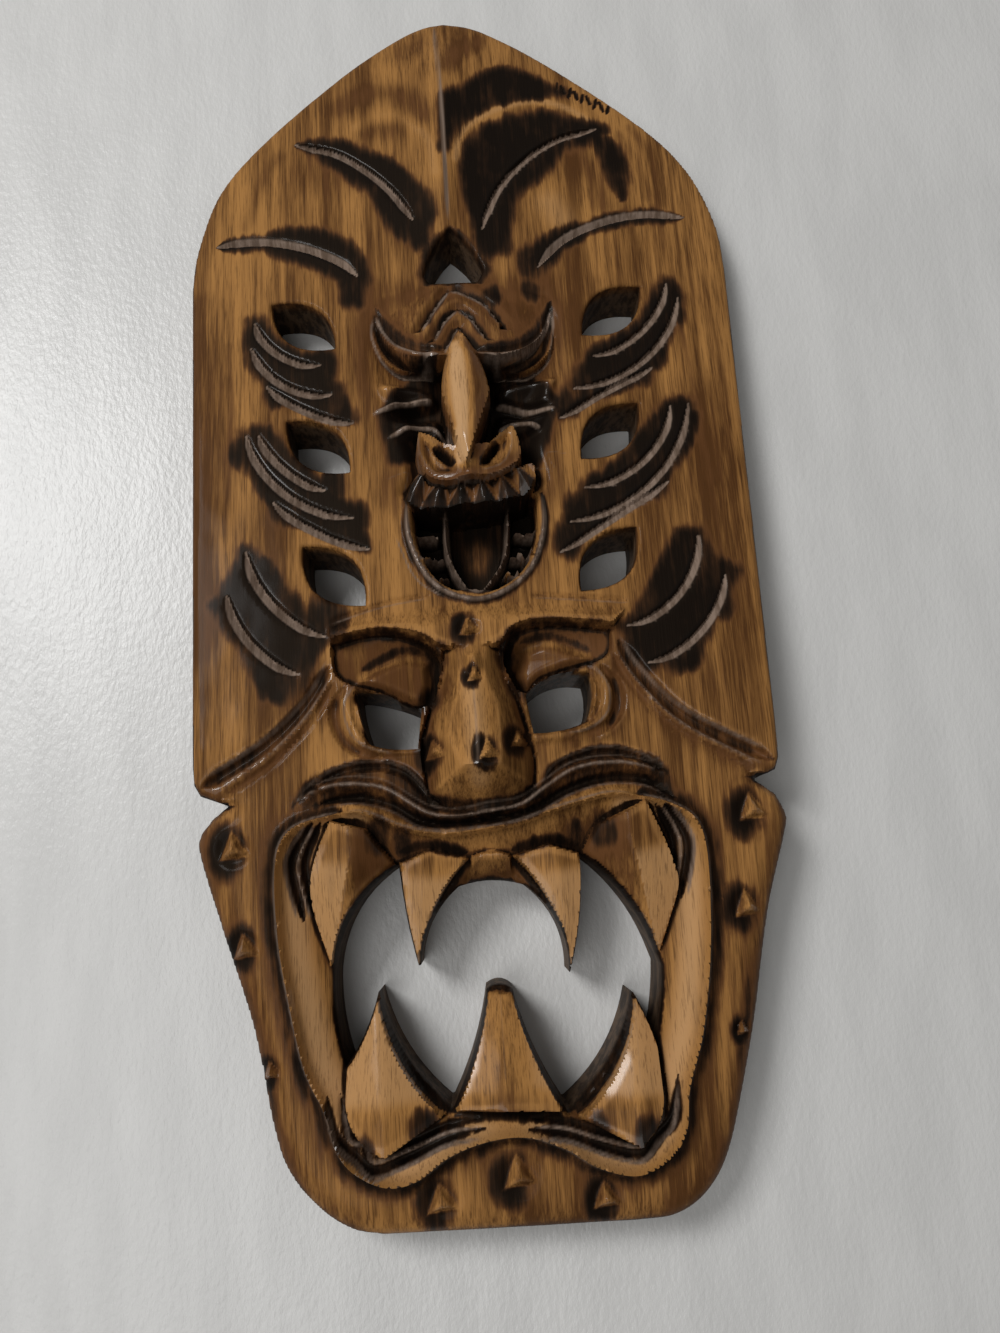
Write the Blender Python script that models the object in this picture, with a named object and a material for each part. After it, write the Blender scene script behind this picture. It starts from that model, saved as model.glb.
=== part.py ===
"""A carved wooden mask: a pointed plank with a small horned head above a big fanged face.

The mask is drawn in units of its own: x runs to the right across it, y up towards the pointed
crown, and z out of the face from a flat back at z = 0. Its free-form lines and cuts are shares of
the drawing, which is stretched to LENGTH and WIDTH at the end. The named sizes are in millimetres.
"""
import bmesh
import bpy
import numpy as np

MM = 0.001

# Plank
LENGTH = 404.5
WIDTH = 182.5
CROWN_THICKNESS = 14.0
WEDGE = 0.062
WEDGE_LENGTH = 264.0
ARCH_DROP = 2.0
CHIN_LENGTH = 80.0
CHIN_FALL = 0.05

# Forehead
CREST_HEIGHT = 4.5
CREST_SPREAD = 17.0

# Side holes
HOLE_ROWS = 3
HOLE_TOP = (-63.0, 89.2)
HOLE_TOP_STEP = (4.7, -43.6)
HOLE_FOOT = (-42.0, 71.7)
HOLE_FOOT_STEP = (3.8, -45.0)
HOLE_BULGE = 7.6
HOLE_MIRROR = -0.8
HOLE_RIGHT_LIFT = 1.2

# Height of the big nose's tip over the back, and other heights over the back as shares of it
RELIEF_HEIGHT = 47.5
SNOUT_SHARE = 0.863
SMALL_BROW_SHARE = 0.673
SMALL_MOUTH_SHARE = 0.19
NOSE_ROOT_SHARE = 0.716
NOSE_FOOT_SHARE = 0.537
LIP_CREST_SHARE = 0.663
LIP_EDGE_SHARE = 0.432
PALATE_SHARE = 0.579
BIG_FANG_SHARE = 0.726
SMALL_FANG_SHARE = 0.632
FANG_POINT_SHARE = 0.484

# Small head
SMALL_PIT_DEPTH = 9.0
SMALL_CHEEK_HEIGHT = 4.5
NOSTRIL_DEPTH = 6.5

# Big face
BROW_HEIGHT = 5.0
SOCKET_DEPTH = 9.0
LID_HEIGHT = 3.2
NOSE_FALL = 0.42
NOSE_FLANK = 1.55
JAW_STEP = 1.6
LIP_WIDTH = 15.0
PALATE_SLOPE = 1.25
FANG_SOFTNESS = 1.5
SPIKE_HEIGHT = 2.6

# Gouges (width, depth) and ribs (width, height)
STROKE_GOUGE = (2.9, 1.9)
LINE_GOUGE = (2.6, 2.0)
LIP_GOUGE = (3.6, 2.8)
LID_GOUGE = (4.0, 2.0)
CHANNEL_GOUGE = (5.0, 3.2)
RIM_GOUGE = (3.2, 2.0)
FOLD_GOUGE = (2.8, 1.6)
LIP_RIB = (5.0, 1.8)
MOUSTACHE_RIB = (5.0, 2.6)
TONGUE_RIB = (3.4, 8.0)
GUM_RIB = (2.6, 6.4)
SMALL_LIP_RIB = (3.2, 1.6)

# Edges
PLANK_ROUND = 2.8
JAW_ROUND = 9.0
JAW_ROUND_DROP = 6.5
HOLE_ROUND = 0.9

# Mesh
GRID = 1.1
SOFT_EDGE = 1.4
TRIANGLES = 9200


def bow(start, end, sag=0.0, steps=10):
    """A bowed line that sags to the right of the way from start to end."""
    start = np.array(start, float)
    end = np.array(end, float)
    way = end - start
    right = np.array([way[1], -way[0]]) / np.hypot(way[0], way[1])
    middle = (start + end) / 2 + 2 * sag * right
    t = np.linspace(0, 1, steps + 1)[:, None]
    return (1 - t) ** 2 * start + 2 * t * (1 - t) * middle + t ** 2 * end


def through(points, steps=6):
    """A smooth line through the points."""
    points = np.array(points, float)
    ends = np.vstack([2 * points[0] - points[1], points, 2 * points[-1] - points[-2]])
    pieces = []
    for k in range(len(points) - 1):
        a, b, c, d = ends[k:k + 4]
        t = np.linspace(0, 1, steps, endpoint=False)[:, None]
        pieces.append(0.5 * (2 * b + (c - a) * t + (2 * a - 5 * b + 4 * c - d) * t ** 2
                             + (3 * b - a - 3 * c + d) * t ** 3))
    pieces.append(points[-1:])
    return np.vstack(pieces)


def chain(*lines):
    """Lines joined end to end."""
    return np.vstack([np.array(line, float) for line in lines])


def mirrored(line, middle=0.0, lift=0.0):
    """A line turned over the upright line x = middle, and raised by lift."""
    line = np.array(line, float)
    return np.column_stack([2 * middle - line[:, 0], line[:, 1] + lift])


def ramp(low, high, value):
    """0 below low, 1 above high and a smooth slope between."""
    t = np.clip((value - low) / (high - low), 0, 1)
    return t * t * (3 - 2 * t)


def nearest(x, y, line, closed=False):
    """Distance to a line, the share of its length at the nearest point, and that point."""
    line = np.array(line, float)
    if closed:
        line = np.vstack([line, line[:1]])
    lengths = np.hypot(*np.diff(line, axis=0).T)
    start = np.concatenate([[0], np.cumsum(lengths)])
    distance = np.full(x.shape, np.inf)
    share = np.zeros(x.shape)
    near_x = np.zeros(x.shape)
    near_y = np.zeros(x.shape)
    for k, length in enumerate(lengths):
        if length == 0:
            continue
        dx, dy = line[k + 1] - line[k]
        t = np.clip(((x - line[k, 0]) * dx + (y - line[k, 1]) * dy) / length ** 2, 0, 1)
        px = line[k, 0] + t * dx
        py = line[k, 1] + t * dy
        reach = np.hypot(x - px, y - py)
        closer = reach < distance
        distance[closer] = reach[closer]
        share[closer] = ((start[k] + t * length) / start[-1])[closer]
        near_x[closer] = px[closer]
        near_y[closer] = py[closer]
    return distance, share, near_x, near_y


def depth_inside(x, y, loop):
    """Distance to a closed loop, positive inside it."""
    loop = np.array(loop, float)
    distance = nearest(x, y, loop, closed=True)[0]
    crossed = np.zeros(x.shape, bool)
    for a, b in zip(loop, np.roll(loop, -1, axis=0)):
        if a[1] == b[1]:
            continue
        between = (a[1] > y) != (b[1] > y)
        crossed ^= between & (x < (b[0] - a[0]) * (y - a[1]) / (b[1] - a[1]) + a[0])
    return np.where(crossed, distance, -distance)


# Outline and openings

def mask_outline():
    """The edge of the plank, from the tip down the left side and up the right."""
    crown_left = through([(-0.5, 203.5), (-9, 201.5), (-20, 195), (-40, 179.5), (-65, 156), (-81, 135.5),
                          (-88.5, 113), (-90.3, 98)])
    plate_left = [(-87.6, -66), (-87.2, -71), (-85.3, -74.3), (-78.5, -77)]
    jaw_left = through([(-83, -80.5), (-86.8, -85.5), (-87, -92), (-81, -112), (-72, -141), (-66.5, -170),
                        (-62, -182.5), (-54, -192), (-45, -198), (-36, -200)])
    jaw_right = through([(36, -201), (46, -200.5), (54, -197), (60.5, -190.5), (65, -182), (69, -170),
                         (75.3, -147.7), (82, -118.5), (90, -95), (91, -89), (88.3, -82.5)])
    plate_right = [(82.5, -78), (87.5, -75.8), (89, -72), (89.1, -66)]
    crown_right = through([(92.2, 98), (90.8, 116), (83.5, 137), (69, 156), (40, 181), (20, 195.5),
                           (9, 201.5), (-0.5, 203.5)])
    return chain(crown_left, plate_left, jaw_left, jaw_right, plate_right, crown_right[:-1])


def drawn(size):
    """A size in millimetres in the units of the drawing."""
    return np.multiply(size, np.ptp(mask_outline()[:, 1]) / LENGTH)


def high(share):
    """A share of the relief's height in the units of the drawing."""
    return share * drawn(RELIEF_HEIGHT)


def side_holes():
    """Three leaf-shaped holes down each side."""
    holes = []
    for row in range(HOLE_ROWS):
        top = drawn(HOLE_TOP) + row * drawn(HOLE_TOP_STEP)
        foot = drawn(HOLE_FOOT) + row * drawn(HOLE_FOOT_STEP)
        leaf = chain(bow(top, foot, -drawn(HOLE_BULGE)), bow(foot, top, -drawn(HOLE_BULGE))[1:-1])
        holes.append(leaf)
        holes.append(mirrored(leaf, drawn(HOLE_MIRROR), drawn(HOLE_RIGHT_LIFT)))
    return holes


def crown_hole():
    """The arched hole at the foot of the forehead crest."""
    return chain(bow((-2.2, 114.5), (-11.8, 97.5), 1.5), [(-10, 94.5), (6.3, 94.5)],
                 bow((8.6, 98.5), (-2.2, 114.5), 1.5)[:-1])


def eye_holes():
    """The two square-cut pupils of the big face."""
    left = chain(bow((-38.3, -45), (-34.3, -62), 0.8)[:-1], bow((-34.3, -62), (-20, -64), 0.8)[:-1],
                 bow((-20, -64), (-18.3, -51.5))[:-1], bow((-18.3, -51.5), (-38.3, -45), 1.0)[:-1])
    right = chain(bow((33.1, -43.5), (31, -58.5), -1.5)[:-1], bow((31, -58.5), (14.8, -61.3), -1.0)[:-1],
                  bow((14.8, -61.3), (13.1, -49.5))[:-1], bow((13.1, -49.5), (33.1, -43.5), -3.0)[:-1])
    return [left, right]


def mouth_hole():
    """The open mouth: its edge runs from gum to fang tip and back all the way round."""
    left_gum = (-27.6, -97.5)
    right_gum = (26.8, -97.3)
    return chain(
        bow(left_gum, (-47.8, -127.8), 4.6)[:-1],
        bow((-47.8, -127.8), (-44.5, -153.5), 1.2)[:-1],
        bow((-44.5, -153.5), (-35, -133.5), 1.0)[:-1],
        bow((-35, -133.5), (-15, -167.3), 3.3)[:-1],
        bow((-15, -167.3), (-3.4, -135.2), 1.5)[:-1],
        bow((-3.4, -135.2), (4.4, -135.6), -1.5, steps=6)[:-1],
        bow((4.4, -135.6), (18, -169.8), 1.6)[:-1],
        bow((18, -169.8), (39.5, -138), 3.6)[:-1],
        bow((39.5, -138), (45, -152.5), -0.6)[:-1],
        bow((45, -152.5), (49, -128.6), 0.8)[:-1],
        bow((48, -128.4), right_gum, 3.0)[:-1],
        bow(right_gum, (21.5, -132), -1.6)[:-1],
        bow((21.5, -132), (10, -105.8), 3.6)[:-1],
        bow((10, -105.8), (-10, -105), 1.6)[:-1],
        bow((-10, -105), (-22.5, -129), 3.2)[:-1],
        bow((-22.5, -129), left_gum, -0.8)[:-1])


class Relief:
    """The height of the carved face over a set of points."""

    def __init__(self, x, y):
        self.x = x
        self.y = y
        self.z = plank_height(x, y)

    def near(self, line, reach):
        """The numbers of the points within reach of a line's own box."""
        low = np.min(line, axis=0) - reach
        high = np.max(line, axis=0) + reach
        hit = (self.x > low[0]) & (self.x < high[0]) & (self.y > low[1]) & (self.y < high[1])
        return np.nonzero(hit)[0]

    def groove(self, line, gouge, ends=0.25):
        """A gouge cut along a line, which runs out at both ends."""
        width, depth = drawn(gouge)
        at = self.near(line, width)
        distance, share, _, _ = nearest(self.x[at], self.y[at], line)
        fade = np.clip(np.minimum(share, 1 - share) / ends, 0, 1) ** 0.6
        half = width / 2 * np.maximum(fade, 0.05)
        self.z[at] -= depth * fade * np.clip(1 - (distance / half) ** 2, 0, 1)

    def rib(self, line, size, ends=0.2):
        """A rounded rib raised along a line."""
        width, height = drawn(size)
        at = self.near(line, width)
        distance, share, _, _ = nearest(self.x[at], self.y[at], line)
        fade = np.clip(np.minimum(share, 1 - share) / ends, 0, 1) ** 0.6
        self.z[at] += height * fade * ramp(width / 2, 0, distance)

    def lay(self, loop, height, edge=0.0):
        """Bring the ground inside a loop to a height; edge is the width of the slope inside it."""
        at = self.near(loop, 0.0)
        depth = depth_inside(self.x[at], self.y[at], loop)
        share = ramp(0, max(edge, drawn(SOFT_EDGE)), depth)
        target = height(self.x[at], self.y[at], self.z[at], depth)
        self.z[at] += share * (target - self.z[at])

    def spike(self, point, size, turn=0.4):
        """A small chip-cut spike: a pit with a three-sided splinter left standing in it."""
        height = drawn(SPIKE_HEIGHT)
        dx = self.x - point[0]
        dy = self.y - point[1]
        at = np.nonzero(np.hypot(dx, dy) < 2 * size)[0]
        distance = np.hypot(dx[at], dy[at])
        angle = np.arctan2(dy[at], dx[at]) + turn
        side = np.cos((angle % (2 * np.pi / 3)) - np.pi / 3)
        pit = 0.8 * height * ramp(1.7 * size, 0.7 * size, distance)
        self.z[at] += 2.0 * height * np.clip(1 - distance * side / (0.55 * size), 0, 1) - pit


def plank_height(x, y):
    """The front of the plank before carving: it thickens from the crown towards the jaw."""
    outline = mask_outline()
    half_width = np.ptp(outline[:, 0]) / 2
    tip = outline[:, 1].max()
    chin = outline[:, 1].min() + drawn(CHIN_LENGTH)
    rise = drawn(CROWN_THICKNESS) + WEDGE * np.clip(tip - y, 0, drawn(WEDGE_LENGTH))
    return rise - CHIN_FALL * np.clip(chin - y, 0, None) - drawn(ARCH_DROP) * (x / half_width) ** 2


# Forehead and sides

def carve_forehead(relief):
    """The sharp crest down the middle, which runs out at both ends, and the four long strokes beside it."""
    crest_x = -2.2 - 0.015 * (relief.y - 115)
    fade = ramp(92, 134, relief.y) * ramp(206, 176, relief.y)
    relief.z += drawn(CREST_HEIGHT) * fade * np.exp(-np.abs(relief.x - crest_x) / drawn(CREST_SPREAD))
    strokes = [[(-54.6, 152.5), (-41.6, 149), (-31.1, 141.7), (-22, 132.2), (-16.6, 123.7), (-14.3, 118.2)],
               [(-81.2, 112.8), (-66.3, 113), (-53.2, 110), (-41.5, 104.4), (-33.9, 98.2)],
               [(51.8, 154.6), (38.6, 151.6), (25.7, 143), (15.7, 131.2), (10.4, 120), (9.2, 114)],
               [(79.2, 117.4), (63.2, 118), (49.5, 114.9), (36.9, 108.7), (27.5, 99.2)]]
    for stroke in strokes:
        relief.groove(through(stroke), STROKE_GOUGE, 0.12)


def feather_strokes():
    """The bowed gouge cuts below each side hole: left ones, then right ones."""
    left = [((-68.8, 82.5), (-47.2, 65.3), 4.0), ((-69.7, 73), (-43.2, 54.3), 5.0),
            ((-64.7, 58.6), (-36.7, 43.6), 2.0), ((-67.6, 41.7), (-45.8, 20.4), 2.8),
            ((-71.5, 41.3), (-37.5, 10.6), 6.6), ((-62.7, 17.3), (-32.7, 0), 2.0),
            ((-71.4, 1), (-46.9, -27.9), 4.5), ((-77.1, -13), (-55, -39.4), 4.0)]
    right = [((70.5, 91.3), (43.1, 64.3), 5.0), ((74, 85.4), (36.1, 52.8), 7.6),
             ((63, 59.6), (30.7, 42.2), -1.2), ((67.4, 45.6), (36.8, 17.4), 6.3),
             ((73.2, 45.6), (30.9, 5.8), 9.0), ((63.9, 18.4), (27.5, -4.1), -0.6),
             ((71.5, 0.1), (46, -29.4), 6.0), ((78.6, -13.9), (51.7, -41.4), 5.0)]
    strokes = [bow(start, end, sag) for start, end, sag in left]
    return strokes + [bow(start, end, -sag) for start, end, sag in right]


# Small head

def small_crest(y):
    """Height of the small head down its middle, from the crown hole to its lip."""
    snout = high(SNOUT_SHARE)
    brow = high(SMALL_BROW_SHARE)
    return np.interp(-y, [-94, -82, -70, -60, -46, -30, -17],
                     [0.69 * brow, 0.84 * brow, brow, 0.88 * snout, 0.95 * snout, snout, 0.976 * snout])


def carve_small_head(relief):
    """A horned head with a long nose, flared nostrils, a row of teeth and an open lower jaw."""
    pit_depth = drawn(SMALL_PIT_DEPTH)
    pit = through([(-27, 92), (-32.5, 78), (-32.7, 62), (-28.8, 48.5), (-24.8, 38.6), (-21.9, 28), (-22, 15),
                   (23, 15), (24.7, 33), (28.5, 42), (33, 52), (35.6, 65), (35, 80), (30, 92)])
    relief.lay(pit, lambda x, y, z, d: z - pit_depth * ramp(0, 9, d))
    brow_left = [(-29, 90), (-28.3, 78), (-24.5, 68.5), (-18, 62.5), (-8, 60)]
    brow_right = [(3.8, 60), (11, 60), (19.5, 63.3), (27, 71.5), (30.5, 87)]
    brow = chain(through(brow_left), through(brow_right), [(12, 93.5), (-13, 93.5)])
    relief.lay(brow, lambda x, y, z, d: np.maximum(plank_height(x, y), small_crest(np.maximum(y, 58))
                                                   - 0.22 * np.abs(x + 1)))
    cheeks = [through([(-31, 58), (-22, 58.5), (-10, 56), (-9, 50), (-20, 47), (-29.5, 46)]),
              through([(-28, 45), (-20, 46), (-9, 47), (-6.5, 38), (-12, 36), (-24.5, 37)])]
    for cheek in cheeks:
        for loop in (cheek, mirrored(cheek, 0.6)):
            relief.lay(loop, lambda x, y, z, d: z + drawn(SMALL_CHEEK_HEIGHT) * ramp(0, 3.5, d))
    muzzle = through([(-16.2, 37.5), (-17.4, 28), (-15.2, 21), (-12.1, 18), (-6, 16.2), (1, 17.2), (6, 17.4),
                      (12.5, 19.5), (17.5, 26), (15, 37), (9.5, 34), (5, 30), (-5.5, 30), (-10.5, 34),
                      (-16.2, 37.5)])
    relief.lay(muzzle, lambda x, y, z, d: small_crest(y) - 1.5 - 0.35 * np.abs(x), 2.0)
    for pit_x in (-8.6, 7.8):
        nostril = through([(pit_x - 4.6, 35), (pit_x - 3.5, 26), (pit_x + 3.5, 24), (pit_x + 1.5, 31),
                           (pit_x - 4.6, 35)])
        relief.lay(nostril, lambda x, y, z, d: z - drawn(NOSTRIL_DEPTH), 1.8)
    nose = chain(bow((-1.1, 71), (-8.2, 47), 1.6), bow((-8.2, 47), (-1.4, 20), 0.5)[1:],
                 bow((-1.0, 20), (8.4, 47), 0.5), bow((8.4, 47), (-1.1, 71), 1.6)[1:-1])
    relief.lay(nose, lambda x, y, z, d: small_crest(y) + 1.5 - 0.45 * np.abs(x))
    for apex, foot, spread in (((-2.5, 90), 74, 13.0), ((-2.0, 80.5), 68, 8.5)):
        for side in (-1, 1):
            horn = bow(apex, (apex[0] + side * spread, foot), side * 1.2)
            relief.groove(horn, LINE_GOUGE, 0.12)
    for line in (brow_left, brow_right):
        relief.groove(through(line) + (0, 2.6), LINE_GOUGE, 0.1)
    carve_small_jaw(relief)


def carve_small_jaw(relief):
    """The small mouth: a row of teeth over a deep hollow with a tongue and ribs inside a round lip."""
    floor = high(SMALL_MOUTH_SHARE)
    hollow = chain(through([(-19, 15.5), (-18.8, 4), (-15, -7), (-9, -13.8), (0.5, -16.8), (10, -13.8),
                            (17, -7), (21, 4), (21.2, 15.5)]), [(15, 17.5), (-14, 16.5)])
    relief.lay(hollow, lambda x, y, z, d: floor + 0 * x, 2.6)
    tongue = through([(-9, 14), (-9.4, 4), (-6, -7), (0.8, -14.5), (7.5, -6.5), (11, 4), (11, 14)])
    relief.rib(tongue, TONGUE_RIB, 0.02)
    for y, left, right in ((4.5, -18, 20), (-3.5, -16, 18), (-10, -11.5, 13.5)):
        inner = 11.5 - 0.2 * abs(y - 4.5)
        relief.rib(bow((left, y), (-inner, y + 0.5)), GUM_RIB, 0.02)
        relief.rib(bow((inner + 2, y), (right, y - 0.5)), GUM_RIB, 0.02)
    at = np.nonzero((relief.y > 11) & (relief.y < 19) & (relief.x > -21) & (relief.x < 21))[0]
    across = relief.x[at] + 1
    pleat = np.abs((across / 7.2) % 1 - 0.5) * 2
    tip = 12.6 + 0.004 * across ** 2 + 1.8 * (1 - pleat)
    share = np.clip((relief.y[at] - tip) / 4.0, 0, 1)
    wall = high(SNOUT_SHARE) - floor - 4 - 0.25 * np.abs(across)
    relief.z[at] = np.where(share > 0, np.maximum(relief.z[at], floor + 5 + share * wall), relief.z[at])
    lip = through([(-20.4, 16), (-20.2, 4), (-16.4, -7.6), (-10, -15), (0.5, -18.4), (11, -15),
                   (18.4, -7.6), (22.4, 4), (22.6, 16)])
    relief.rib(lip, SMALL_LIP_RIB, 0.05)


# Big face

def nose_crest(y):
    """Height of the big nose down its middle."""
    root = high(NOSE_ROOT_SHARE)
    tip = high(1)
    return np.interp(-y, [18, 30, 42, 60, 74, 78.5, 84.5],
                     [root - 6.5, root - 1, root + 2.5, tip - 5, tip, tip - 1, high(LIP_CREST_SHARE) - 2])


def carve_brows(relief):
    """Two heavy brows that meet over the nose, with a deep socket below each."""
    brow = chain(through([(-46, -25), (-29.8, -20.4), (-12, -17.6), (0, -17.4), (12, -18.6), (34.6, -21.3),
                          (47.5, -22.8)]),
                 through([(41.5, -29.5), (25.2, -27.2), (12.5, -28.2), (6.7, -34)]), [(-2.5, -36)],
                 through([(-11.8, -34), (-19.6, -29.3), (-32.3, -27.4), (-45.5, -30)]))
    relief.lay(brow, lambda x, y, z, d: z + drawn(BROW_HEIGHT) * ramp(-18, -27, y + 0.09 * np.abs(x)))
    sockets = [(through([(-45.5, -30), (-32.3, -27.6), (-19.6, -29.5), (-12.5, -34.5), (-12.3, -42),
                         (-17, -51.5), (-30, -46.6), (-43.5, -41), (-45.5, -30)]), -45.5, 33.0),
               (through([(41.3, -29.7), (25.2, -27.4), (12.5, -28.6), (7.4, -34.5), (8, -42),
                         (12.8, -49), (20, -44), (38.5, -39), (41.3, -29.7)]), 41.3, -34.0)]
    for socket, outer, width in sockets:
        relief.lay(socket, lambda x, y, z, d: z - 3.0 - drawn(SOCKET_DEPTH)
                   * np.clip((x - outer) / width, 0, 1) * ramp(-27, -38, y))
    lids = [chain(through([(-38, -40.5), (-30, -36), (-23, -33.8), (-15, -35.2)]),
                  through([(-14.5, -44), (-18.6, -51), (-30, -46.4), (-40, -43)])),
            chain(through([(36, -38), (29, -34.5), (21, -31.8), (12.5, -33.5)]),
                  through([(10, -42), (13.4, -48.5), (20, -44), (36, -39.6)]))]
    for lid in lids:
        relief.lay(lid, lambda x, y, z, d: z + drawn(LID_HEIGHT) * ramp(0, 2.2, d))


def carve_nose(relief):
    """The long nose, its square root between the brows and the sloping cut under its tip."""
    nose = chain(through([(-10.5, -14), (-10.8, -26), (-11.8, -36), (-13, -44), (-17, -53), (-19.3, -62),
                          (-19, -71), (-18, -78)]),
                 through([(-12, -82.5), (0, -84.3), (10, -81.5)]),
                 through([(15, -77), (15.6, -69), (13.6, -58), (11, -49), (7.6, -42), (6.6, -34),
                          (6.5, -26), (6.5, -14)]))

    def roof(x, y, z, depth):
        ridge = nose_crest(y) - NOSE_FALL * np.abs(x + 2.2 + 0.02 * (y + 40))
        target = np.minimum(ridge, high(NOSE_FOOT_SHARE) + NOSE_FLANK * depth)
        return np.where(y > -34, np.maximum(z, target), target)

    relief.lay(nose, roof)
    relief.rib(bow((-2.3, -36.5), (-1.8, -43)), LIP_RIB, 0.3)


def carve_cheeks(relief):
    """The lower lids, and the curved channel and rib that part the plank from the jaw."""
    for line in ([(-41, -43.5), (-44.5, -50), (-43.5, -58), (-38.5, -63.5), (-29, -66.5)],
                 [(36, -40.5), (41.2, -48), (41, -55.5), (35.5, -61), (26, -63)]):
        relief.groove(through(line), LID_GOUGE, 0.2)
    for line in ([(-46, -37), (-54, -49.5), (-66, -61), (-84.5, -72)],
                 [(42.5, -33.5), (50, -46), (62, -59), (86.5, -73)]):
        relief.groove(through(line), CHANNEL_GOUGE, 0.1)
    rim_left = through([(-44.5, -42), (-51, -53), (-63, -65.5), (-80, -76)])
    rim_right = through([(40.5, -37.5), (47.5, -50), (59, -62.5), (81, -76)])
    for line in (rim_left, rim_right):
        relief.groove(line, RIM_GOUGE, 0.1)
    jaw = chain(rim_left, [(-100, -82), (-100, -210), (100, -210), (100, -80)], rim_right[::-1],
                [(36, -62), (-36, -64)])
    relief.lay(jaw, lambda x, y, z, d: z - drawn(JAW_STEP), 2.5)


def outer_lip():
    """The sharp crest of the lips, once round the mouth."""
    left = [(-43.5, -81.3), (-55.5, -84), (-61, -88.5), (-63.2, -98), (-62.6, -116), (-60, -133),
            (-56, -152), (-50.6, -164), (-48.2, -173), (-43.2, -180), (-34, -184.6), (-25, -183.5)]
    bottom = [(-16, -178), (-6, -174.8), (5, -174.2), (16, -178)]
    right = [(25, -183.5), (36, -186), (45.5, -181.8), (50.6, -174.5), (52.4, -164), (57.4, -150),
             (61, -133), (63, -116), (63.6, -98), (61, -88.8), (54, -84), (44.4, -81)]
    return through(left + bottom + right)


def carve_lips(relief):
    """A ridged moustache over lips that slope in to the mouth."""
    top = through([(44.4, -81), (36, -80), (28, -81.5), (18, -84), (8, -86.8), (0, -88), (-10, -88.9),
                   (-18, -88.4), (-25.5, -86.4), (-31.5, -83.6), (-37, -81.4), (-43.5, -81.3)])
    crest = high(LIP_CREST_SHARE)
    fall = crest - high(LIP_EDGE_SHARE)
    width = drawn(LIP_WIDTH)
    relief.lay(chain(outer_lip(), top[1:-1]),
               lambda x, y, z, d: crest - fall * np.clip(d / width, 0, 1) ** 0.8)
    relief.rib(outer_lip(), LIP_RIB, 0.01)
    for line in ([(-58, -79), (-53.4, -74.5), (-46.6, -70.6), (-38.9, -68.6), (-31, -68.6), (-24.3, -71),
                  (-19.5, -76), (-17, -81)],
                 [(55, -75.5), (46.3, -70), (36.6, -67.8), (28.9, -68.8), (21.2, -71.8), (16.5, -77)]):
        relief.groove(through(line), LIP_GOUGE, 0.15)
    moustache = through([(-58, -78.6), (-52, -75), (-44, -73.4), (-36, -73.8), (-29, -75.8), (-18, -83),
                         (-9, -84.6), (0, -83.4), (9.5, -82.2), (17.3, -77.4), (26, -72.6), (36.6, -71.2),
                         (46.3, -72.6), (54.5, -76)])
    relief.rib(moustache, MOUSTACHE_RIB, 0.05)
    relief.rib(top, MOUSTACHE_RIB, 0.05)
    relief.groove(through([(-52, -79), (-40, -77.2), (-29, -80), (-18, -86), (0, -86), (12, -84.4),
                           (24, -78.4), (36, -75.6), (48, -77), (56, -83)]), LIP_GOUGE, 0.1)
    for inset in (4.2, 8.0):
        for side, lift in ((-1, 0.0), (1, -0.8)):
            corner = through([(side * (51.5 - inset), -162), (side * (49.5 - inset), -171 + 0.4 * inset),
                              (side * (43.5 - 0.8 * inset), -178.5 + inset), (side * 35, -183 + inset),
                              (side * 24, -180 + inset), (side * 12, -174.5 + 0.7 * inset)])
            relief.groove(corner + (0, lift), FOLD_GOUGE, 0.15)
            cheek = through([(side * (56 - inset), -108), (side * (59.5 - inset), -98),
                             (side * (57 - inset), -90), (side * 48, -84.5)])
            relief.groove(cheek, FOLD_GOUGE, 0.15)


def carve_palate(relief):
    """The arch between the inner fangs, which slopes back into the mouth."""
    palate = chain(bow((-21.5, -124), (-6, -96.5), 3.6), bow((-6, -96.5), (6, -96.5), -1.6)[1:-1],
                   bow((6, -96.5), (20.5, -126), 3.6), [(10, -125), (-10, -125)])
    relief.lay(palate, lambda x, y, z, d: high(PALATE_SHARE) - PALATE_SLOPE * d)


def fang(relief, sides, tip, root, root_share, slopes):
    """One fang: a soft crest from the middle of its root to its tip, falling to either side."""
    loop = chain(*sides)
    at = relief.near(loop, 0.0)
    x = relief.x[at]
    y = relief.y[at]
    depth = depth_inside(x, y, loop)
    _, share, near_x, _ = nearest(x, y, bow(root, tip))
    top = high(root_share)
    slope = np.where(x < near_x, slopes[0], slopes[1])
    soft = drawn(FANG_SOFTNESS)
    away = np.sqrt((x - near_x) ** 2 + soft ** 2) - soft
    target = top + (high(FANG_POINT_SHARE) - top) * share ** 1.4 - slope * away
    relief.z[at] += ramp(0, drawn(SOFT_EDGE), depth) * (target - relief.z[at])


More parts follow.
